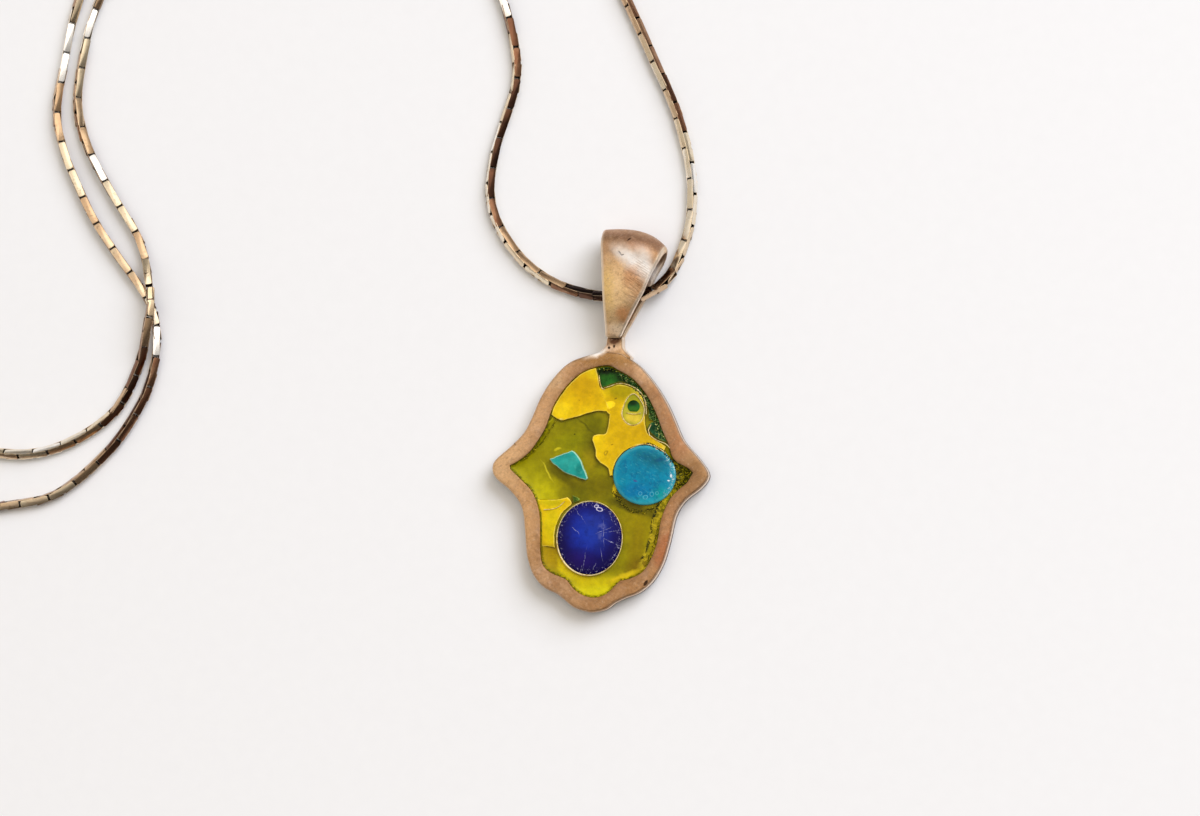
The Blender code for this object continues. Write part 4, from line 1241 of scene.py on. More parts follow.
# %% Field finishes
def yellow_enamel(name, patches):
    yellow = Finish(name)
    place = yellow.place()
    loose = yellow.shift(place, 0.8, 0.7)
    depth = yellow.mark("depth")
    cloud = yellow.noise(place, 0.5, 4.0, 0.6)
    lit_edge = yellow.fade(depth, 0.06, 0.20) * yellow.ramp(cloud, 0.36, 0.56)
    colour = yellow.blend(paint(226, 190, 12), paint(212, 172, 8), yellow.ramp(cloud, 0.35, 0.7))
    colour = yellow.layers(
        yellow.patches(colour, loose, patches),
        # Painted highlight along the rounded edge, and painted shade at its foot.
        ((246, 222, 96), lit_edge * 0.7),
        ((98, 70, 6), yellow.fade(depth, 0.02, 0.08) * 0.85),
    )
    return glassy(yellow, colour, place, pits=0.5)


def green_enamel(name, dark, light, flecks, patches=()):
    """Dark green glass with a craze of pale and yellow flecks where it is broken."""
    green = Finish(name)
    place = green.place()
    cloud = green.noise(place, 0.9, 5.0, 0.7)
    grit = green.noise(place, 3.2, 5.0, 0.7)
    craze = green.cells(green.shift(place, 3.0, 0.4), 2.6, "DISTANCE_TO_EDGE")
    band = green.spot(place, flecks)
    colour = green.blend(paint(*dark), paint(*light), green.ramp(cloud, 0.35, 0.7))
    colour = green.layers(
        green.patches(colour, green.shift(place, 1.2, 0.5), patches),
        ((150, 168, 92), band * green.fade(craze, 0.02, 0.12) * 0.8),
        ((206, 196, 96), band * green.ramp(grit, 0.58, 0.68) * 0.8),
        ((20, 40, 14), green.ramp(grit, 0.42, 0.34) * 0.7),
        ((176, 178, 70), green.fade(green.mark("depth"), 0.02, 0.12) * 0.35),
    )
    return glassy(green, colour, place, relief_depth=0.03)


def plain_glass(name, colour, patches, edge, mottle=((255, 255, 255), 0.0)):
    """Glass with colour patches, an edge (colour, width, cover) and a mottle (colour, amount)."""
    glass = Finish(name)
    place = glass.place()
    loose = glass.shift(place, 0.9, 0.5)
    grain = glass.noise(place, 1.8, 5.0, 0.65)
    edge_colour, width, cover = edge
    shade = glass.layers(
        glass.patches(paint(*colour), loose, patches),
        (mottle[0], glass.ramp(grain, 0.52, 0.68) * mottle[1]),
        (edge_colour, glass.fade(glass.mark("depth"), width * 0.4, width) * cover),
    )
    return glassy(glass, shade, place, rough=0.1, pits=0.2)


# %% Fields and chips
Field = namedtuple("Field", "node slot rise round_over ragged finish")
upper_yellow = table(
    Patch,
    (-2.6, 11.1, 2.4, 1.5, 4, 0.7, 0.9, (192, 150, 8)),
    (-2.2, 9.2, 2.6, 0.9, 8, 0.7, 0.5, (214, 168, 6)),
    (-5.5, 8.2, 1.2, 0.9, 4, 0.6, 0.6, (236, 204, 26)),
    (-1.6, 12.7, 0.9, 0.6, 0, 0.6, 0.5, (232, 204, 20)),
    (-0.9, 13.0, 0.45, 0.35, 0, 0.6, 0.8, (110, 108, 12)),
    (-5.6, 6.9, 0.5, 0.16, 10, 0.4, 0.9, (246, 226, 120)),
    (-3.2, 9.4, 0.08, 0.06, 0, 0.4, 0.8, (150, 104, 4)),
    (-1.9, 9.9, 0.07, 0.06, 0, 0.4, 0.8, (150, 104, 4)),
)
middle_yellow = table(
    Patch,
    (1.9, 10.6, 2.0, 1.1, -10, 0.6, 0.95, (162, 144, 4)),
    (3.4, 10.9, 0.5, 0.3, 0, 0.6, 0.7, (190, 184, 40)),
    (0.1, 8.3, 0.6, 0.14, 10, 0.5, 0.6, (206, 150, 10)),
    (-0.85, 4.6, 1.1, 1.9, 10, 0.6, 0.8, (236, 200, 14)),
    (4.4, 6.0, 2.2, 1.9, 4, 0.8, 0.9, (196, 156, 10)),
    (2.2, 4.4, 2.0, 2.0, 4, 0.8, 0.85, (206, 166, 10)),
    (1.2, 7.6, 1.3, 1.8, 4, 0.8, 0.8, (204, 164, 8)),
    (0.4, 8.97, 0.76, 0.48, 4, 0.10, 0.95, (250, 216, 30)),
    (0.4, 3.2, 0.22, 0.28, 4, 0.3, 0.6, (128, 96, 8)),
    (0.4, 3.2, 0.11, 0.15, 4, 0.3, 0.9, (226, 190, 16)),
    (1.05, 4.3, 0.16, 0.09, 30, 0.4, 0.7, (120, 90, 8)),
    (1.1, 9.75, 0.20, 0.09, 20, 0.4, 0.8, (104, 82, 6)),
    (5.9, 4.1, 0.5, 0.14, -40, 0.4, 0.9, (70, 46, 10)),
    (6.3, 3.9, 0.5, 0.06, -40, 0.4, 0.9, (236, 222, 180)),
)
lower_yellow = table(
    Patch,
    (-5.6, -5.6, 1.1, 2.4, 0, 0.6, 0.8, (206, 186, 8)),
    (-6.0, -2.9, 1.6, 0.5, 0, 0.6, 0.7, (182, 170, 8)),
    (-5.6, -8.3, 2.2, 0.55, 0, 0.9, 0.9, (166, 138, 4)),
)
teal_patches = table(
    Patch,
    (-2.7, 1.1, 0.5, 0.7, 4, 0.6, 0.7, (14, 112, 104)),
    (-4.2, 1.9, 0.8, 0.5, 4, 0.6, 0.7, (48, 160, 148)),
    (-3.2, 2.4, 0.5, 0.4, 4, 0.6, 0.5, (62, 174, 160)),
)
drop_patches = table(
    Patch,
    (3.35, 9.5, 1.1, 0.9, 4, 0.4, 0.8, (146, 144, 16)),
    (3.45, 7.6, 0.9, 0.55, 4, 0.5, 0.9, (222, 194, 56)),
)
GREEN_PATCHES = table(
    Patch,
    (2.2, 12.1, 1.5, 0.7, -34, 0.7, 0.9, (18, 36, 8)),
    (3.8, 10.9, 1.2, 0.6, -50, 0.7, 0.8, (26, 46, 10)),
    (0.3, 11.5, 0.8, 0.8, 0, 0.7, 0.7, (40, 104, 30)),
    (-0.2, 12.9, 1.0, 0.35, 10, 0.6, 0.9, (12, 22, 6)),
)
GREEN_FLECKS = Patch(5.2, 9.4, 1.5, 4.2, -14, 0.3)
LEAF_FLECKS = Patch(6.9, 6.1, 0.7, 1.0, 0, 0.4)
MOSS_FLECKS = Patch(-2.6, -2.4, 0.2, 0.2, 0, 0.4)
TEAL_EDGE, TEAL_MOTTLE = ((176, 216, 186), 0.14, 0.75), ((70, 176, 160), 0.4)
DROP_EDGE = ((222, 210, 120), 0.10, 0.6)
upper_glaze = yellow_enamel("upper_yellow", upper_yellow)
middle_glaze = yellow_enamel("middle_yellow", middle_yellow)
lower_glaze = yellow_enamel("lower_yellow", lower_yellow)
green_glaze = green_enamel("green_glaze", (20, 58, 10), (44, 100, 26), GREEN_FLECKS, GREEN_PATCHES)
leaf_glaze = green_enamel("leaf_glaze", (12, 50, 24), (40, 96, 56), LEAF_FLECKS)
moss_glaze = green_enamel("moss_glaze", (34, 58, 8), (86, 128, 26), MOSS_FLECKS)
teal_glaze = plain_glass("teal_glaze", (32, 148, 138), teal_patches, TEAL_EDGE, TEAL_MOTTLE)
drop_glaze = plain_glass("drop_glaze", (174, 166, 44), drop_patches, DROP_EDGE)
FIELDS = table(
    Field,
    ("upper_yellow_field", "yellow_enamel", 0.05, 0.14, 0.06, upper_glaze),
    ("middle_yellow_field", "yellow_enamel", 0.05, 0.12, 0.04, middle_glaze),
    ("lower_yellow_field", "yellow_enamel", -0.06, 0.2, 0.08, lower_glaze),
    ("green_field", "green_enamel", -0.05, 0.12, 0.12, green_glaze),
    ("leaf_green_chip", "green_enamel", 0.02, 0.12, 0.10, leaf_glaze),
    ("moss_chip", "green_enamel", 0.04, 0.10, 0.05, moss_glaze),
    ("teal_chip", "teal_glass", 0.05, 0.16, 0.06, teal_glaze),
    ("drop_cell", "pale_olive_enamel", 0.0, 0.10, 0.02, drop_glaze),
)
RUNS_TOGETHER = {"upper_yellow_field": "middle_yellow_field", "middle_yellow_field": "upper_yellow_field"}
HALF_GAP = 0.05 * MM
RUN_WITHIN, RUN_BY = 0.22 * MM, 0.32 * MM
RAGGED_SIZE = 0.8 * MM
FIELD_WAVE, FIELD_WAVE_SIZE = 0.05 * MM, 1.6 * MM
FIELD_SUNK = 0.25 * MM
FIELD_STEP = 0.22 * MM


def make_fields():
    for field in FIELDS:
        outline = grown(node_outline(field.node), HALF_GAP)
        if field.node in RUNS_TOGETHER:
            outline = run_into(outline, node_outline(RUNS_TOGETHER[field.node]), RUN_WITHIN, RUN_BY)
        outline = ragged(outline, field.ragged * MM, RAGGED_SIZE)
        melt = Melt(field.round_over * MM, FIELD_WAVE, FIELD_WAVE_SIZE, 0.0)
        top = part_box(field.node)[1].z + field.rise * MM
        name = field.node + "_enamel"
        piece = melted_solid(name, outline, GROUND_TOP - FIELD_SUNK, top, melt, FIELD_STEP)
        finished(piece, field.finish, field.slot, field.node)


make_fields()

# %% [markdown]
# ### The inset glass
#
# Two discs of glass stand a little out of the enamel: a turquoise one, mottled and frayed
# at its edge, and a cobalt one with a dark rim, a paler heart and fine white cracks. Each
# is a low dome. The outline wobbles a little, because it was cut or melted by hand.

# %% Glass domes
TOP_RISE = 0.004


def dome(name, node, rows, lift, wobble, seed, steps=96, flat=1.0):
    """A low dome over the node's oval: rows of reach and rise. Its low side may be cut flat."""
    low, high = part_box(node)
    middle, half = (low + high) / 2, (high - low) / 2
    shaken = random.Random(seed)
    waves = [(k, shaken.uniform(0, 2 * math.pi), shaken.uniform(0.3, 1.0) / k) for k in (2, 3, 5, 7, 11, 17)]
    work = bmesh.new()
    layer = work.verts.layers.float.new("depth")
    rings = []
    for reach, rise in rows:
        ring = []
        for i in range(steps):
            angle = 2 * math.pi * i / steps
            uneven = 1 + wobble * sum(size * math.sin(k * angle + phase) for k, phase, size in waves)
            x = middle.x + half.x * reach * uneven * math.cos(angle)
            y = middle.y + half.y * reach * uneven * max(math.sin(angle), -flat)
            ring.append(work.verts.new((x, y, low.z + (high.z - low.z + lift) * rise)))
            ring[-1][layer] = (1 - reach) * half.x / MM
        rings.append(ring)
    for upper, lower in zip(rings, rings[1:]):
        for i in range(steps):
            j = (i + 1) % steps
            work.faces.new((upper[i], lower[i], lower[j], upper[j]))
    top = work.verts.new((middle.x, middle.y, low.z + (high.z - low.z + lift) * (rows[0][1] + TOP_RISE)))
    top[layer] = half.x / MM
    for i in range(steps):
        work.faces.new((top, rings[0][i], rings[0][(i + 1) % steps]))
    work.faces.new(rings[-1][::-1])
    bmesh.ops.recalc_face_normals(work, faces=work.faces)
    return new_object(name, work)


DOME_ROWS = [
    (0.06, 0.998),
    (0.20, 0.992),
    (0.36, 0.976),
    (0.52, 0.948),
    (0.66, 0.912),
    (0.78, 0.868),
    (0.87, 0.818),
    (0.93, 0.766),
    (0.97, 0.705),
    (0.99, 0.640),
    (1.00, 0.560),
    (1.00, 0.0),
]
BEAD_ROWS = [(0.15, 0.99), (0.35, 0.96), (0.55, 0.90), (0.75, 0.78), (0.90, 0.62), (1.0, 0.42), (1.0, 0.0)]
turquoise = dome("turquoise_glass", "turquoise_disc", DOME_ROWS, 0.05 * MM, 0.007, 4)
cobalt = dome("cobalt_glass", "cobalt_disc", DOME_ROWS, 0.08 * MM, 0.005, 9)
bead = dome("drop_bead", "drop_centre", BEAD_ROWS, 0.02 * MM, 0.01, 2, 60, 0.86)

# %% Turquoise and bead finish
TURQUOISE_PATCHES = table(
    Patch,
    (5.3, 0.6, 2.9, 2.6, 0, 0.8, 0.8, (6, 120, 154)),
    (4.2, -1.2, 1.8, 1.0, 10, 0.7, 0.7, (6, 112, 164)),
    (2.6, 1.6, 0.6, 1.2, -20, 0.6, 0.5, (10, 112, 146)),
    (5.9, 2.9, 2.4, 1.1, -10, 0.8, 0.85, (18, 96, 112)),
    (7.4, -1.5, 1.0, 0.8, -36, 0.7, 0.7, (10, 158, 150)),
    (5.4, -2.2, 1.6, 0.5, 0, 0.6, 0.7, (40, 168, 186)),
    (6.9, 2.75, 0.5, 0.2, 10, 0.5, 0.7, (16, 76, 110)),
    (4.14, 0.12, 0.22, 0.11, -16, 0.5, 0.75, (66, 66, 130)),
)
BUBBLES = table(
    Patch,
    (4.82, -1.35, 0.20, 0.20, 0, 0.2),
    (5.45, -1.75, 0.27, 0.22, 20, 0.2),
    (6.20, -1.35, 0.22, 0.25, 0, 0.2),
    (6.80, -1.20, 0.18, 0.18, 0, 0.2),
)
FRAYED_SIDE = Patch(8.3, 1.0, 1.1, 3.0, 0, 0.4)
CHIPS = table(
    Patch,
    (8.35, 0.95, 0.10, 0.20, 0, 0.5),
    (8.10, 0.35, 0.14, 0.07, 0, 0.5),
)
BEAD_PATCHES = table(
    Patch,
    (3.30, 9.45, 0.72, 0.50, 4, 0.6, 0.95, (12, 38, 10)),
    (3.20, 8.45, 0.8, 0.36, 4, 0.7, 0.8, (62, 112, 30)),
)
BUBBLE_LINE = 0.35


def ringed(finish, place, patch):
    """1 on the edge of a patch and 0 inside and out: the outline of a bubble."""
    far = finish.oval(place, patch)
    return finish.ramp(far, 1 - BUBBLE_LINE, 1.0) * finish.fade(far, 1.0, 1 + BUBBLE_LINE)


def turquoise_finish():
    glass = Finish("turquoise_glass")
    place = glass.place()
    loose = glass.shift(place, 0.9, 0.6)
    grain = glass.noise(place, 1.5, 6.0, 0.7)
    streaks = glass.noise(glass.stretch(place, 1.2, 3.4, 1.0, -28), 1.3, 5.0, 0.7)
    frayed = glass.mark("depth") + (glass.noise(place, 2.2, 5.0, 0.7) - 0.5) * 0.7
    flakes = glass.ramp(glass.noise(place, 4.2, 6.0, 0.75, 0.4), 0.52, 0.60)
    flaked = glass.spot(place, FRAYED_SIDE) * flakes * glass.fade(frayed, 0.2, 0.9)
    colour = glass.layers(
        glass.patches(paint(14, 140, 164), loose, TURQUOISE_PATCHES),
        ((4, 92, 130), glass.ramp(grain, 0.50, 0.36) * 0.6),
        ((78, 166, 172), glass.ramp(streaks, 0.54, 0.70) * 0.45),
        ((76, 170, 178), glass.fade(frayed, 0.10, 0.55) * 0.55),
        ((196, 216, 210), flaked * 0.8),
        ((110, 196, 212), any_of(ringed(glass, place, patch) for patch in BUBBLES) * 0.5),
        ((226, 234, 234), any_of(glass.spot(place, patch) for patch in CHIPS)),
    )
    return glassy(glass, colour, place, rough=0.16, pits=0.15, relief_depth=0.03)


def bead_finish():
    glass = Finish("drop_bead")
    place = glass.place()
    colour = glass.patches(paint(30, 96, 34), glass.shift(place, 1.5, 0.25), BEAD_PATCHES)
    return glassy(glass, colour, place, rough=0.08, pits=0.1)


finished(turquoise, turquoise_finish(), "turquoise_glass", "turquoise_disc")
finished(bead, bead_finish(), "dark_green_glass", "drop_centre")

# %% [markdown]
# The cracks in the cobalt glass are hair-thin and whitish. Each one is a very narrow
# oval patch, so it tapers at both ends as a real crack does. The list gives the middle,
# half the length and the direction of each.

# %% Cobalt finish
Crack = namedtuple("Crack", "x y half turn")
CRACKS = table(
    Crack,
    (-2.32, -4.24, 1.07, -50),
    (-2.66, -6.13, 0.59, -41),
    (0.70, -6.24, 1.54, -85),
    (0.77, -5.88, 0.91, 26),
    (1.88, -7.36, 1.13, -22),
    (1.56, -6.07, 0.91, 11),
    (1.43, -4.30, 0.52, -63),
    (-1.42, -9.50, 1.27, -97),
    (0.65, -8.85, 0.72, -77),
    (-1.78, -10.65, 0.51, -107),
    (-0.99, -10.72, 0.43, -121),
    (-0.11, -10.20, 0.40, -114),
    (-4.54, -4.98, 0.51, -107),
    (-4.45, -6.52, 0.40, -60),
    (2.52, -7.86, 0.61, -57),
    (2.04, -8.95, 0.55, 52),
)
CRACK_WIDTH = 0.022
COBALT_PATCHES = table(
    Patch,
    (-0.9, -6.4, 2.5, 2.8, 4, 0.9, 0.9, (20, 18, 116)),
    (-1.3, -6.2, 1.7, 1.9, 4, 0.9, 0.95, (22, 50, 160)),
    (0.0, -6.0, 1.5, 1.9, 4, 0.8, 0.4, (34, 56, 140)),
    (-2.0, -9.6, 1.7, 1.0, 10, 0.7, 0.35, (40, 14, 100)),
    (-0.6, -4.8, 1.4, 0.7, 4, 0.8, 0.6, (34, 50, 140)),
)
STAR = Patch(0.45, -6.0, 0.45, 1.1, 0, 0.6)
COBALT_BUBBLES = table(
    Patch,
    (-0.37, -3.12, 0.24, 0.15, 10, 0.2),
    (0.02, -3.48, 0.36, 0.20, -12, 0.2),
)


def crack_patch(crack):
    return Patch(crack.x, crack.y, crack.half, CRACK_WIDTH, crack.turn, 0.5)


def cobalt_finish():
    glass = Finish("cobalt_glass")
    place = glass.place()
    loose = glass.shift(place, 0.8, 0.5)
    threads = glass.shift(place, 2.0, 0.36)
    grain = glass.noise(place, 1.8, 5.0, 0.7)
    white = any_of(glass.spot(threads, crack_patch(crack)) for crack in CRACKS)
    flaked = glass.ramp(glass.noise(place, 4.0, 5.0, 0.75), 0.56, 0.64)
    broken = glass.ramp(glass.noise(place, 3.0, 3.0, 0.6), 0.36, 0.56)
    star = glass.spot(threads, STAR) * glass.ramp(grain, 0.46, 0.60)
    bubbles = any_of(ringed(glass, place, patch) for patch in COBALT_BUBBLES)
    colour = glass.layers(
        glass.patches(paint(12, 3, 62), loose, COBALT_PATCHES),
        ((10, 4, 66), glass.ramp(grain, 0.48, 0.34) * 0.25),
        ((196, 190, 222), glass.fade(glass.mark("depth"), 0.2, 0.7) * flaked * 0.6),
        ((178, 178, 204), white * broken * 0.6),
        ((112, 116, 168), star * 0.35),
        ((214, 208, 226), bubbles * 0.9),
    )
    return glassy(glass, colour, place, rough=0.08, pits=0.0)


finished(cobalt, cobalt_finish(), "cobalt_glass", "cobalt_disc")

# %% [markdown]
# ### Cell wires
#
# Thin ribbons of bright wire keep some of the colours apart. They were bent by hand and
# ground level with the glass, so they show as fine broken bright lines. Each is a thin
# tube that wanders a little in height and thickness along its outline.

# %% Wires
SWELL_SIDE = Vector((-0.62, -0.78))
WIRE_DRIFT, WIRE_DRIFT_SIZE = 0.03 * MM, 0.9 * MM
WIRE_STEP = 0.15 * MM
RING_STEP = 0.2 * MM
RING_MARGIN = 0.09 * MM
Wire = namedtuple("Wire", "name path radius height closed swell node")


def wire_along(wire, seed):
    """A thin wire on a path, uneven as hand-bent wire is. It may swell at its lower left."""
    start = random.Random(seed).uniform(0, 50)
    data = bpy.data.curves.new(wire.name, "CURVE")
    data.dimensions = "3D"
    data.bevel_depth = wire.radius * MM
    data.bevel_resolution = 2
    data.use_fill_caps = not wire.closed
    spline = data.splines.new("POLY")
    spline.points.add(len(wire.path) - 1)
    middle = sum(wire.path, Vector((0, 0))) / len(wire.path)
    for i, (target, point) in enumerate(zip(spline.points, wire.path)):
        drift = noise.noise(Vector((point.x, point.y, start * MM)) / WIRE_DRIFT_SIZE) * WIRE_DRIFT
        target.co = (point.x, point.y, wire.height * MM + drift, 1.0)
        lower_left = max(0.0, (point - middle).normalized().dot(SWELL_SIDE)) ** 3
        target.radius = 1.0 + 0.4 * noise.noise(Vector((i * 0.21, start, 0.0))) + wire.swell * lower_left
    spline.use_cyclic_u = wire.closed
    return new_object(wire.name, curve_body(data))


def wire_metal():
    wire = Finish("wire_metal")
    place = wire.place()
    dull = wire.noise(place, 1.6, 4.0, 0.7)
    colour = wire.blend(paint(246, 228, 170), paint(196, 160, 84), wire.ramp(dull, 0.46, 0.62))
    return wire.surface(colour, 0.34 + dull * 0.2, 0.45, wire.relief((dull, 0.03, 0.5)))


def oval_path(node, margin, steps=120):
    low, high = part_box(node)
    middle, half = (low + high) / 2, (high - low) / 2
    angles = [2 * math.pi * i / steps for i in range(steps)]
    return [
        Vector((middle.x + (half.x + margin) * math.cos(a), middle.y + (half.y + margin) * math.sin(a)))
        for a in angles
    ]


def centre_line(node, start, sides):
    """The middle line of a CAD tube, from the end near start: the middles of its rings."""
    work = welded(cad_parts[node].data)
    ring = sorted(work.verts, key=lambda vertex: (vertex.co - start).length)[:sides]
    seen = set(ring)
    line = []
    while ring:
        line.append(sum((vertex.co for vertex in ring), Vector()) / len(ring))
        following = {edge.other_vert(vertex) for vertex in ring for edge in vertex.link_edges} - seen
        seen |= following
        ring = list(following)
    work.free()
    return line


def strip_through(*places):
    """A smooth open path through places given in millimetres."""
    return redrawn([Vector(place) * MM for place in places], WIRE_STEP, False)


def wire_path(node, start):
    """The path of a CAD wire with six sides, seen from above."""
    return redrawn([point.xy for point in centre_line(node, start, 6)], WIRE_STEP, False)


bright_wire = wire_metal()
arch_low, arch_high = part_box("arch_wire")
arch_path = wire_path("arch_wire", Vector((arch_low.x, arch_high.y - 1.0 * MM, arch_low.z)))
lower_path = wire_path("lower_wire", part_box("lower_wire")[0])
ring_path = redrawn(oval_path("cobalt_disc", RING_MARGIN), RING_STEP)
drop_path = grown(node_outline("drop_cell"), HALF_GAP)
leaf_path = strip_through((5.6, 6.9), (5.3, 6.2), (5.5, 5.6), (6.3, 5.1), (7.6, 4.6), (8.4, 3.7), (9.1, 2.5))
disc_path = strip_through((3.3, 3.9), (4.3, 4.4), (5.5, 4.5), (6.6, 4.15), (7.5, 3.6))
green_path = strip_through((-1.0, 12.4), (-0.9, 11.7), (-0.6, 10.9), (-0.2, 10.75))
bead_path = strip_through((2.5, 8.15), (3.0, 8.05), (3.8, 8.05), (4.3, 8.2))
wires = table(
    Wire,
    ("cobalt_ring", ring_path, 0.05, 2.03, True, 1.3, "cobalt_wire"),
    ("arch_strip", arch_path, 0.05, 2.16, False, 0.0, "arch_wire"),
    ("lower_strip", lower_path, 0.04, 2.09, False, 0.0, "lower_wire"),
    ("drop_strip", drop_path, 0.045, 2.15, True, 0.6, None),
    ("leaf_strip", leaf_path, 0.05, 2.17, False, 0.0, None),
    ("disc_strip", disc_path, 0.045, 2.19, False, 0.0, None),
    ("green_strip", green_path, 0.055, 2.16, False, 0.0, None),
    ("bead_strip", bead_path, 0.035, 2.15, False, 0.0, None),
)
for seed, wire in enumerate(wires):
    finished(wire_along(wire, seed), bright_wire, "wire_metal", *([wire.node] if wire.node else []))

# %% [markdown]
# ### Crumbs of glass
#
# Along the wall of the recess, and where two colours meet, the enamel is not smooth: fine
# crumbs of glass in several greens and yellows stuck there. They are many and alike, so
# one lumpy crumb is modelled and Geometry Nodes strew it along a few lines.

# %% Geometry Nodes helpers
class NodeTree:
    """A Geometry Nodes tree with named inputs, while its nodes are being put together."""

    def __init__(self, name, inputs):
        self.tree = bpy.data.node_groups.new(name, "GeometryNodeTree")
        for title, kind in inputs.items():
            self.tree.interface.new_socket(title, in_out="INPUT", socket_type="NodeSocket" + kind)
        self.tree.interface.new_socket("Result", in_out="OUTPUT", socket_type="NodeSocketGeometry")
        self.given = self.tree.nodes.new("NodeGroupInput").outputs

    def node(self, kind, settings=None, sockets=None, out=0):
        """Adds one node and gives one of its outputs back."""
        made = add_node(self.tree, kind, settings, sockets)
        return made.outputs[out] if len(made.outputs) else made

    def maths(self, operation, first, second):
        return self.node("ShaderNodeMath", {"operation": operation}, {0: first, 1: second})

    def seed(self, change):
        """The tree's seed moved on, so that each random node draws its own numbers."""
        return self.maths("ADD", self.given["Seed"], change)

    def scaled(self, vector, amount):
        return self.node("ShaderNodeVectorMath", {"operation": "SCALE"}, {0: vector, "Scale": amount})

    def noted(self, points, name, value):
        """The points with a number kept on each of them."""
        settings = {"data_type": "FLOAT", "domain": "POINT"}
        sockets = {"Geometry": points, "Name": name, "Value": value}
        return self.node("GeometryNodeStoreNamedAttribute", settings, sockets)

    def end(self, points, thing, material, sockets):
        """The thing set on every point, as real geometry with its material, is the result."""
        thing, material = self.given[thing], self.given[material]
        space = {"transform_space": "ORIGINAL"}
        shape = self.node("GeometryNodeObjectInfo", space, {"Object": thing}, out=4)
        sockets = {"Points": points, "Instance": shape, **sockets}
        copies = self.node("GeometryNodeInstanceOnPoints", None, sockets)
        copies = self.node("GeometryNodeRealizeInstances", None, {"Geometry": copies})
        copies = self.node("GeometryNodeSetMaterial", None, {"Geometry": copies, "Material": material})
        self.node("NodeGroupOutput", None, {"Result": copies})
        return self.tree


def run_tree(piece, tree, wanted):
    """Sets the tree's inputs on the piece and leaves the result as a plain mesh."""
    setter = piece.modifiers.new(tree.name, "NODES")
    setter.node_group = tree
    for item in tree.interface.items_tree:
        if item.name in wanted:
            setter[item.identifier] = wanted[item.name]
    return flattened(piece)


# %% Crumbs
CRUMB_WANDER = (1.0, 1.0, 0.2)
CRUMB_LUMP, CRUMB_LUMP_SIZE = 0.45, 0.9 * MM
CRUMB_SMALLEST, CRUMB_LARGEST = (0.5, 0.5, 0.3), (2.0, 1.3, 0.8)


def crumb_tree():
    """Geometry Nodes that strew one crumb along a line, each turned and sized on its own."""
    inputs = {
        "Course": "Geometry",
        "Crumb": "Object",
        "Count": "Int",
        "Reach": "Float",
        "Size": "Float",
        "Seed": "Int",
        "Glass": "Material",
    }
    tree = NodeTree("crumbs", inputs)
    node, given = tree.node, tree.given

    def any_vector(low, high, change):
        sockets = {0: low, 1: high, "Seed": tree.seed(change)}
        return node("FunctionNodeRandomValue", {"data_type": "FLOAT_VECTOR"}, sockets)

    curve = node("GeometryNodeMeshToCurve", None, {"Mesh": given["Course"]})
    points = node("GeometryNodeResampleCurve", {"mode": "COUNT"}, {"Curve": curve, "Count": given["Count"]})
    wander = any_vector(tuple(-reach for reach in CRUMB_WANDER), CRUMB_WANDER, 1.0)
    moved = tree.scaled(wander, given["Reach"])
    points = node("GeometryNodeSetPosition", None, {"Geometry": points, "Offset": moved})
    tone = node("FunctionNodeRandomValue", {"data_type": "FLOAT"}, {"Seed": tree.seed(2.0)}, out=1)
    points = tree.noted(points, "tone", tone)
    turn = any_vector((0.0,) * 3, (2 * math.pi,) * 3, 3.0)
    rotation = node("FunctionNodeEulerToRotation", None, {0: turn})
    scale = tree.scaled(any_vector(CRUMB_SMALLEST, CRUMB_LARGEST, 4.0), given["Size"])
    return tree.end(points, "Crumb", "Glass", {"Rotation": rotation, "Scale": scale})


def make_crumb():
    """One lumpy crumb, a millimetre in radius, to be scaled down."""
    work = bmesh.new()
    bmesh.ops.create_icosphere(work, subdivisions=1, radius=1.0 * MM)
    for vertex in work.verts:
        vertex.co *= 1 + CRUMB_LUMP * noise.noise(vertex.co / CRUMB_LUMP_SIZE)
    return new_object("crumb", work)


TONE_STARTS = (0.34, 0.64, 0.90)
TONE_STEP = 0.02


def crumb_glass(name, colours):
    """Each crumb picks one of four colours by its tone."""
    glass = Finish(name)
    tone = glass.mark("tone")
    rows = [
        (colour, glass.ramp(tone, start - TONE_STEP, start + TONE_STEP))
        for start, colour in zip(TONE_STARTS, colours[1:])
    ]
    return glass.surface(glass.layers(paint(*colours[0]), *rows), 0.3, 0.0, None, GLASS_SHINE)


GREENS = ((18, 42, 12), (40, 84, 30), (88, 124, 62), (196, 196, 120))
OLIVES = ((28, 32, 6), (74, 70, 8), (128, 116, 12), (182, 160, 34))
DARK_GREENS = ((12, 20, 6), (16, 30, 8), (40, 60, 16), (150, 150, 60))
BROWNS = ((24, 20, 8), (40, 34, 12), (84, 70, 26), (226, 212, 176))
GREEN_TOP = ((1.4, 12.5), (2.4, 12.1), (3.7, 11.1), (4.8, 9.8))
GREEN_BAND = GREEN_TOP + ((5.6, 8.4), (6.2, 7.2), (6.7, 6.2), (7.4, 5.3))
TOP_LINE = ((-1.3, 12.9), (-0.5, 13.1), (0.2, 13.2), (1.0, 12.9))
TIP_LINE = ((9.0, 2.3), (9.8, 1.7), (10.4, 1.2), (9.9, 0.4), (9.1, -0.5))
RIGHT_WALL = ((8.9, -1.0), (8.0, -2.5), (7.4, -4.4), (7.0, -6.6), (6.5, -8.6), (5.9, -10.3), (4.9, -11.5))
LEAF_EDGE = ((5.0, 4.6), (5.9, 4.45), (6.9, 4.0), (7.7, 3.3), (8.5, 2.6))
UNDER_DISC = ((1.6, -1.2), (2.4, -2.6), (3.6, -3.4), (5.1, -3.6), (6.5, -3.0), (7.6, -1.9))
LEFT_WALL = ((-5.7, 7.5), (-6.3, 6.1), (-7.2, 4.5), (-8.3, 3.1), (-9.6, 1.9))
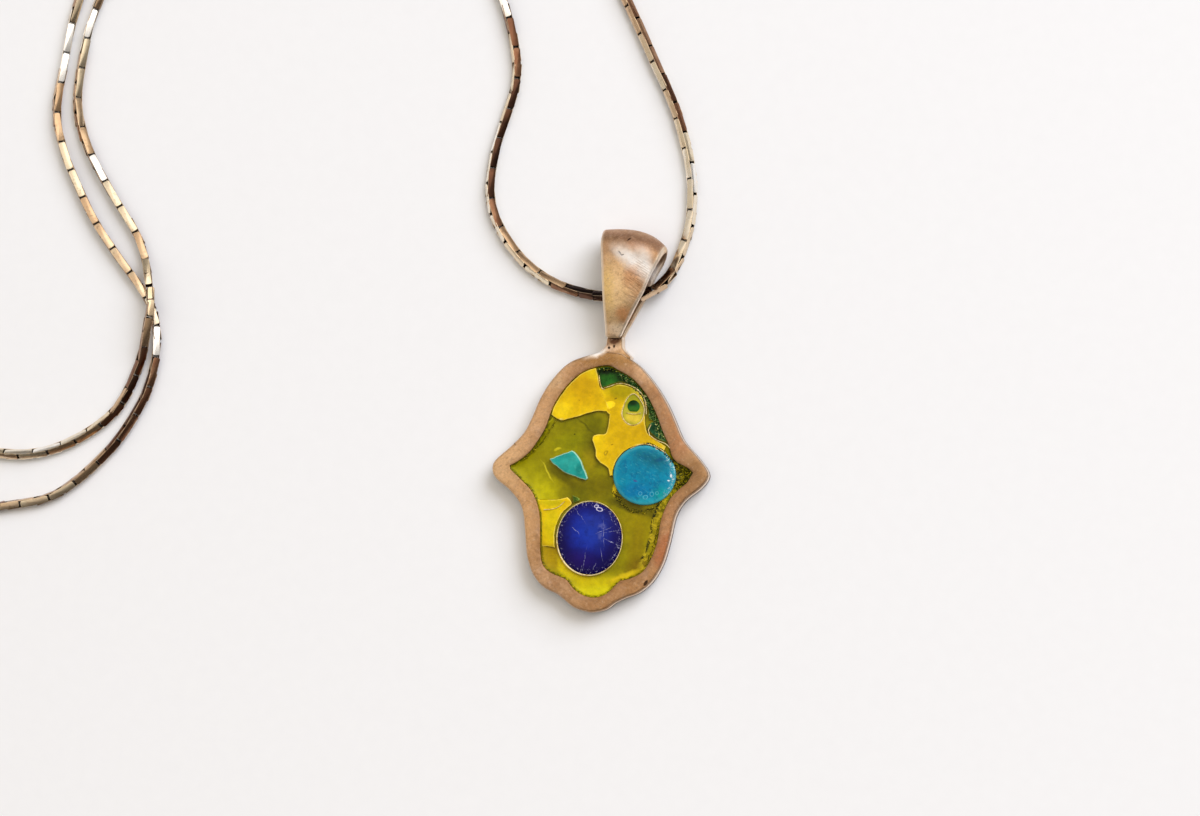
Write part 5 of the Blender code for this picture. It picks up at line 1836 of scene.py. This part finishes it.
Strewn = namedtuple("Strewn", "name slot colours count reach size height places")
STREWN = table(
    Strewn,
    ("green_band_crumbs", "green_enamel", GREENS, 620, 0.30, 0.075, 2.12, GREEN_BAND),
    ("top_crumbs", "green_enamel", DARK_GREENS, 80, 0.20, 0.085, 2.10, TOP_LINE),
    ("tip_crumbs", "olive_enamel", OLIVES, 300, 0.50, 0.08, 1.98, TIP_LINE),
    ("right_wall_crumbs", "olive_enamel", OLIVES, 330, 0.24, 0.07, 1.94, RIGHT_WALL),
    ("leaf_edge_crumbs", "green_enamel", BROWNS, 110, 0.17, 0.07, 2.17, LEAF_EDGE),
    ("under_disc_crumbs", "olive_enamel", OLIVES, 200, 0.26, 0.06, 1.78, UNDER_DISC),
    ("left_wall_crumbs", "olive_enamel", OLIVES, 110, 0.12, 0.055, 2.02, LEFT_WALL),
)


def strew_crumbs():
    crumb, tree = make_crumb(), crumb_tree()
    for seed, line in enumerate(STREWN):
        work = bmesh.new()
        points = [work.verts.new((x * MM, y * MM, line.height * MM)) for x, y in line.places]
        for pair in zip(points, points[1:]):
            work.edges.new(pair)
        glass = crumb_glass(line.name, line.colours)
        wanted = {"Crumb": crumb, "Count": line.count, "Reach": line.reach * MM, "Size": line.size}
        wanted.update({"Seed": seed, "Glass": glass})
        finished(run_tree(new_object(line.name, work), tree, wanted), glass, line.slot)
    bpy.data.objects.remove(crumb)


strew_crumbs()

# %% [markdown]
# ## The box chain
#
# A box chain's link is a short strip folded into a rectangular frame: two long plates
# and the narrow webs that join their ends. Each link is turned a quarter against the
# next, and its webs lie inside its neighbours, so the chain closes into a square bar
# with a seam wherever two plates meet. The plates of neighbouring links run into each
# other by up to 0.06 mm along the corners of the bar.
#
# One link is modelled. Geometry Nodes set it along the chain's course: the curve is cut
# into steps of one pitch, each point gets a link aimed along the curve, every second one
# is turned a quarter, and each gets a small turn of its own and a number for its tone.

# %% One link
LINK_PITCH = 1.86 * MM
LINK_HALF = 0.465 * MM
LINK_WALL = 0.12 * MM
LINK_SEAM = 0.17 * MM
PLATE_HALF = 0.43 * MM
PLATE_CORNER = 0.24 * MM
PLATE_EDGE = 0.06 * MM
WEB_HALF = 0.26 * MM
INNER_SHARE = 0.84
HAIR = 0.001 * MM


def bevelled(work, made, edges, offset, segments):
    """Rounds some edges of a body. Gives back its vertices, the new ones and those left."""
    settings = {"offset": offset, "segments": segments, "profile": 0.5, "affect": "EDGES"}
    cut = bmesh.ops.bevel(work, geom=list(edges), **settings)
    return list({v for face in cut["faces"] for v in face.verts} | {v for v in made if v.is_valid})


def make_plate_of_link(work, side):
    """One long plate: a thin box with rounded corners, its inner face a little narrower."""
    long = LINK_PITCH - LINK_SEAM / 2
    made = bmesh.ops.create_cube(work, size=1.0)["verts"]
    bmesh.ops.scale(work, verts=made, vec=(2 * long, 2 * PLATE_HALF, LINK_WALL))
    edges = {edge for v in made for edge in v.link_edges}
    upright = {edge for edge in edges if abs(edge.verts[0].co.z - edge.verts[1].co.z) > 0}
    made = bevelled(work, made, upright, PLATE_CORNER, 4)
    rim = {edge for v in made for edge in v.link_edges if min(p.co.z for p in edge.verts) > 0}
    made = bevelled(work, made, rim, PLATE_EDGE, 2)
    grime = work.verts.layers.float["grime"]
    rubbed = work.verts.layers.float["rubbed"]
    for vertex in made:
        outer = vertex.co.z > LINK_WALL / 2 - PLATE_EDGE - HAIR
        # Faces inside the link are marked to be painted near black.
        vertex[grime] = 0.0 if outer else 1.0
        # The long edges are marked for paler paint: a painted highlight, with rubbed wear.
        vertex[rubbed] = float(abs(vertex.co.y) > PLATE_HALF - PLATE_EDGE / 2)
        if not outer:
            vertex.co.y *= INNER_SHARE
    bmesh.ops.translate(work, verts=made, vec=(0, 0, LINK_HALF - LINK_WALL / 2))
    if side < 0:
        bmesh.ops.rotate(work, verts=made, cent=(0, 0, 0), matrix=Matrix.Rotation(math.pi, 3, "X"))


def make_link():
    """One link along X, its two plates facing up and down, a web at each end."""
    work = bmesh.new()
    grime = work.verts.layers.float.new("grime")
    work.verts.layers.float.new("rubbed")
    for side in (1, -1):
        make_plate_of_link(work, side)
    long, inner = LINK_PITCH - LINK_SEAM / 2, LINK_HALF - LINK_WALL
    for side in (1, -1):
        web = bmesh.ops.create_cube(work, size=1.0)["verts"]
        bmesh.ops.scale(work, verts=web, vec=(LINK_WALL, 2 * WEB_HALF, 2 * inner))
        bmesh.ops.translate(work, verts=web, vec=(side * (long - LINK_WALL), 0, 0))
        for vertex in web:
            # The webs are marked to be painted near black.
            vertex[grime] = 1.0
    return new_object("link", work)


link = make_link()
print("one link", len(link.data.polygons), "faces")

# %% Links along the course
def chain_tree():
    """Geometry Nodes that set one link along a line, every second one turned a quarter."""
    inputs = {
        "Course": "Geometry",
        "Link": "Object",
        "Pitch": "Float",
        "First turned": "Int",
        "Own turn": "Float",
        "Own lean": "Float",
        "Seed": "Int",
        "Metal": "Material",
    }
    tree = NodeTree("box_chain", inputs)
    node, maths, given = tree.node, tree.maths, tree.given

    def kept(name):
        return node("GeometryNodeInputNamedAttribute", {"data_type": "FLOAT"}, {"Name": name})

    def own_turn(reach, change):
        """A small turn either way, different for each link."""
        sockets = {2: maths("MULTIPLY", reach, -1.0), 3: reach, "Seed": tree.seed(change)}
        return node("FunctionNodeRandomValue", {"data_type": "FLOAT"}, sockets, out=1)

    curve = node("GeometryNodeMeshToCurve", None, {"Mesh": given["Course"]})
    curve = node("GeometryNodeSetCurveNormal", {"mode": "Z_UP"}, {"Curve": curve})
    curve = node("GeometryNodeSetCurveTilt", None, {"Curve": curve, "Tilt": kept("roll")})
    sockets = {"Curve": curve, "Length": given["Pitch"]}
    points = node("GeometryNodeResampleCurve", {"mode": "LENGTH"}, sockets)
    turned = maths("MODULO", maths("ADD", node("GeometryNodeInputIndex"), given["First turned"]), 2.0)
    # Every second link takes the turned faces' value: tarnish with painted reflection, set face by face.
    other = maths("MULTIPLY", turned, maths("SUBTRACT", kept("turned_tarnish"), kept("tarnish")))
    points = tree.noted(points, "tarnish", maths("ADD", kept("tarnish"), other))
    tone = node("FunctionNodeRandomValue", {"data_type": "FLOAT"}, {"Seed": given["Seed"]}, out=1)
    points = tree.noted(points, "tone", tone)
    along = {0: node("GeometryNodeInputTangent"), 1: node("GeometryNodeInputNormal")}
    aimed = node("FunctionNodeAxesToRotation", {"primary_axis": "X", "secondary_axis": "Z"}, along)
    quarter = maths("MULTIPLY", turned, math.pi / 2)
    turns = {
        0: maths("ADD", quarter, own_turn(given["Own turn"], 1.0)),
        1: own_turn(given["Own lean"], 2.0),
        2: own_turn(given["Own lean"], 3.0),
    }
    own = node("FunctionNodeEulerToRotation", None, {0: node("ShaderNodeCombineXYZ", None, turns)})
    rotation = node("FunctionNodeRotateRotation", {"rotation_space": "LOCAL"}, {0: aimed, 1: own})
    return tree.end(points, "Link", "Metal", {"Rotation": rotation})


box_chain = chain_tree()
print("chain tree", len(box_chain.nodes), "nodes")

# %% [markdown]
# ### The chain's course and its roll
#
# The course is read from the middle line of the CAD tube. A square bar can lie on a face
# or stand on an edge, and a real chain changes from one to the other as it winds, so a
# short table says how far it is rolled along its length. Its middle lies higher where it
# stands on an edge. Where the chain climbs, the end of a link would dip under the
# surface, so its lowest points are set down on it.

# %% Course, roll, and tarnish with painted reflection
LieRow = namedtuple("LieRow", "at roll tarnish turned")
# Each row's third number is the tarnish of the plain faces and its fourth that of the turned ones. Besides
# real tarnish they carry painted reflection: 0 and below paint white glints, high values dark faces.
LEFT_LIE = table(
    LieRow,
    (0, 45, 0.90, 1.00),
    (6, 45, 0.80, 0.96),
    (9, 42, 0.40, 0.60),
    (12, 40, 0.26, 0.40),
    (16, 38, 0.22, 0.42),
    (19, 36, 0.16, 0.68),
    (22, 34, 0.22, 0.86),
    (34, 32, 0.24, 0.86),
    (39, 30, 0.20, 0.72),
    (44.4, 28, 0.55, 0.66),
    (45.4, 12, 0.70, 0.10),
    (48, 8, 0.65, 0.06),
    (80, 30, 0.45, 0.45),
    (115, -40, 0.60, 0.50),
    (116, -19, 0.0, -0.4),
    (118.8, -19, 0.0, -0.4),
    (120, -32, 0.40, 0.30),
    (124, -40, 0.46, 0.34),
    (132, -40, 0.50, 0.38),
    (134, -26, 0.85, 0.36),
    (134.4, -20, 0.85, -0.4),
    (136.6, -20, 0.85, -0.4),
    (137.8, -16, 0.78, 0.16),
    (141, -14, 0.74, 0.22),
    (142.5, -14, 0.72, 0.34),
    (150, -14, 0.70, 0.36),
    (158, -30, 0.60, 0.36),
    (161, -42, 0.70, 0.80),
    (167, -42, 0.70, 0.84),
    (171, -42, 0.40, 0.60),
    (176, -45, 0.20, 0.44),
    (190, -45, 0.20, 0.44),
    (220, -45, 0.50, 0.50),
)
RIGHT_LIE = table(
    LieRow,
    (0, -30, 0.40, 0.86),
    (3, -26, 0.30, 0.76),
    (5, -16, 0.36, 0.34),
    (7, -12, 0.34, 0.20),
    (12, -16, 0.26, 0.16),
    (16, -32, 0.10, 0.18),
    (20, -38, 0.12, 0.24),
    (22, -42, 0.80, 0.34),
    (28, -42, 0.84, 0.36),
    (31, -38, 0.72, 0.22),
    (36, -40, 0.70, 0.44),
    (44, -40, 0.70, 0.46),
    (90, -30, 0.45, 0.45),
    (134, -42, 0.72, 0.45),
    (136, -40, 0.72, 0.45),
    (137, -19, 0.0, -0.4),
    (143.2, -19, 0.0, -0.4),
    (144.4, -30, 0.50, 0.40),
    (147, -34, 0.60, 0.40),
    (151, -20, 0.64, 0.42),
    (155, -14, 0.70, 0.36),
    (170, -12, 0.72, 0.38),
    (176, -12, 0.70, 0.36),
    (178, -20, 0.75, 0.02),
    (182, -20, 0.75, 0.02),
    (184, -40, 0.66, 0.74),
    (192, -44, 0.70, 0.86),
    (197, -38, 0.60, 0.70),
    (202, -20, 0.66, 0.44),
    (213, -18, 0.66, 0.44),
    (230, -30, 0.50, 0.50),
)
TUBE_RADIUS = 0.55 * MM
TUBE_SIDES = 8
SURFACE_GAP = 0.01 * MM
COURSE_STEP = 0.4 * MM
LINK_TURN, LINK_LEAN = math.radians(5), math.radians(1.2)


def lie_at(rows, at):
    """The row for a distance in millimetres from the chain's start, between two rows if need be."""
    for first, second in zip(rows, rows[1:]):
        if at <= second.at:
            share = (at - first.at) / (second.at - first.at)
            return LieRow(*(a + (b - a) * share for a, b in zip(first, second)))
    return rows[-1]


def trimmed(path, start, end):
    """The path without so much of its length at each end."""
    for length, backwards in ((start, False), (end, True)):
        path = path[::-1] if backwards else path
        while length > 0:
            step = (path[1] - path[0]).length
            if step > length:
                path = [path[0].lerp(path[1], length / step)] + path[1:]
                break
            length -= step
            path = path[1:]
        path = path[::-1] if backwards else path
    return path


def course_line(name, line, rows):
    """The course as a mesh line that carries roll, and tarnish with painted reflection, high enough for the
    square bar.
    """
    work = bmesh.new()
    layers = [work.verts.layers.float.new(mark) for mark in ("roll", "tarnish", "turned_tarnish")]
    travelled, before, last = 0.0, None, None
    for point in line:
        travelled += (point - before).length if before is not None else 0.0
        lie = lie_at(rows, travelled / MM)
        roll = math.radians(lie.roll)
        rest = LINK_HALF * (abs(math.cos(roll)) + abs(math.sin(roll))) + SURFACE_GAP
        vertex = work.verts.new((point.x, point.y, point.z - TUBE_RADIUS + rest))
        for layer, value in zip(layers, (roll, lie.tarnish, lie.turned)):
            vertex[layer] = value
        if last is not None:
            work.edges.new((last, vertex))
        before, last = point, vertex
    return new_object(name, work)


def links_along(name, node, start, rows, cut_start, first_turned, seed, metal):
    line = redrawn(centre_line(node, start, TUBE_SIDES), COURSE_STEP, False)
    chain = course_line(name, trimmed(line, cut_start, END_CUT), rows)
    wanted = {"Link": link, "Pitch": LINK_PITCH, "First turned": first_turned, "Own turn": LINK_TURN}
    wanted.update({"Own lean": LINK_LEAN, "Seed": seed, "Metal": metal})
    settled = run_tree(chain, box_chain, wanted)
    for vertex in settled.data.vertices:
        vertex.co.z = max(vertex.co.z, SURFACE_GAP)
    finished(settled, metal, "chain_metal", node)


# %% [markdown]
# ### The chain's finish
#
# The chain is old polished plate: nearly white where it is bright, tan where it is worn,
# brown to black where it has tarnished. The course carries how far the tarnish has
# gone, with painted reflection in it: white glints and dark faces, set face by face.
# Every link adds a little of its own, and one ramp turns that single number into the
# colour. The plates' long edges are painted paler, a painted highlight with rubbed
# wear, and the faces inside each link, seen through the seams, are painted near black.

# %% Chain metal and both strands
def chain_metal():
    metal = Finish("chain_metal")
    place = metal.place()
    tone, tarnish = metal.mark("tone"), metal.mark("tarnish")
    fine = metal.noise(place, 1.3, 4.0, 0.65)
    streak = metal.noise(place, 0.5, 3.0, 0.6)
    # Tarnish with painted reflection: low values are painted as white glints, high ones as dark faces.
    worn = tarnish + (tone - 0.5) * 0.24 * metal.ramp(tarnish, 0.02, 0.25) + (streak - 0.5) * 0.25
    spotted = metal.ramp(fine, 0.54, 0.72) * metal.ramp(worn, 0.05, 0.3)
    colour = metal.layers(
        paint(255, 255, 255),
        ((236, 220, 192), metal.ramp(worn, 0.02, 0.26)),
        ((208, 176, 142), metal.ramp(worn, 0.26, 0.50)),
        ((132, 92, 70), metal.ramp(worn, 0.50, 0.74)),
        ((50, 38, 36), metal.ramp(worn, 0.74, 1.0)),
        ((96, 66, 50), spotted * 0.4),
        # Paler long edges of the plates: a painted highlight, with rubbed wear.
        ((236, 214, 184), metal.ramp(metal.mark("rubbed"), 0.3, 0.9) * 0.5),
        # Faces inside the links, seen through the seams, painted near black.
        ((34, 24, 20), metal.ramp(metal.mark("grime"), 0.1, 0.6) * 0.92),
    )
    return metal.surface(colour, 0.14 + fine * 0.18, 1.0, metal.relief((fine, 0.02, 0.35)))


chain_finish = chain_metal()
left_start = Vector((1.2, 21.9, 1.7)) * MM
right_start = Vector((1.55, 21.95, 1.7)) * MM
END_CUT = 1.7 * MM
right_cut = LINK_PITCH - (right_start - left_start).length
links_along("box_chain_left", "chain_left", left_start, LEFT_LIE, 0.0, 0, 3, chain_finish)
links_along("box_chain_right", "chain_right", right_start, RIGHT_LIE, right_cut, 1, 5, chain_finish)
bpy.data.objects.remove(link)

# %% [markdown]
# ### The clasp
#
# The clasp lies outside the picture. It stays what the CAD makes it, one plain barrel,
# turned with a small groove near each end.

# %% Clasp
BarrelRow = namedtuple("BarrelRow", "along radius")
BARREL = table(
    BarrelRow,
    (0.00, 0.00),
    (0.00, 0.55),
    (0.03, 0.80),
    (0.09, 0.97),
    (0.13, 1.00),
    (0.15, 0.90),
    (0.17, 1.00),
    (0.50, 1.00),
)
CLASP_TARNISH = 0.4
CLASP_STEPS = 40


def make_clasp():
    low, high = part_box("clasp")
    middle, length = (low + high) / 2, high.x - low.x
    radius = (high.z - low.z) / 2
    rows = BARREL + [BarrelRow(1 - row.along, row.radius) for row in BARREL[-2::-1]]
    work = bmesh.new()
    corners = []
    for row in rows:
        x = middle.x - length / 2 + row.along * length
        corners.append(work.verts.new((x, middle.y, middle.z + row.radius * radius)))
    profile = [work.edges.new(pair) for pair in zip(corners, corners[1:])]
    about = {"cent": middle, "axis": (1, 0, 0), "angle": 2 * math.pi}
    bmesh.ops.spin(work, geom=corners + profile, steps=CLASP_STEPS, use_merge=True, **about)
    bmesh.ops.remove_doubles(work, verts=work.verts, dist=MERGE)
    bmesh.ops.recalc_face_normals(work, faces=work.faces)
    barrel = new_object("clasp_barrel", work)
    dull = barrel.data.attributes.new("tarnish", "FLOAT", "POINT")
    for mark in dull.data:
        mark.value = CLASP_TARNISH
    return barrel


finished(make_clasp(), chain_finish, "chain_metal", "clasp")
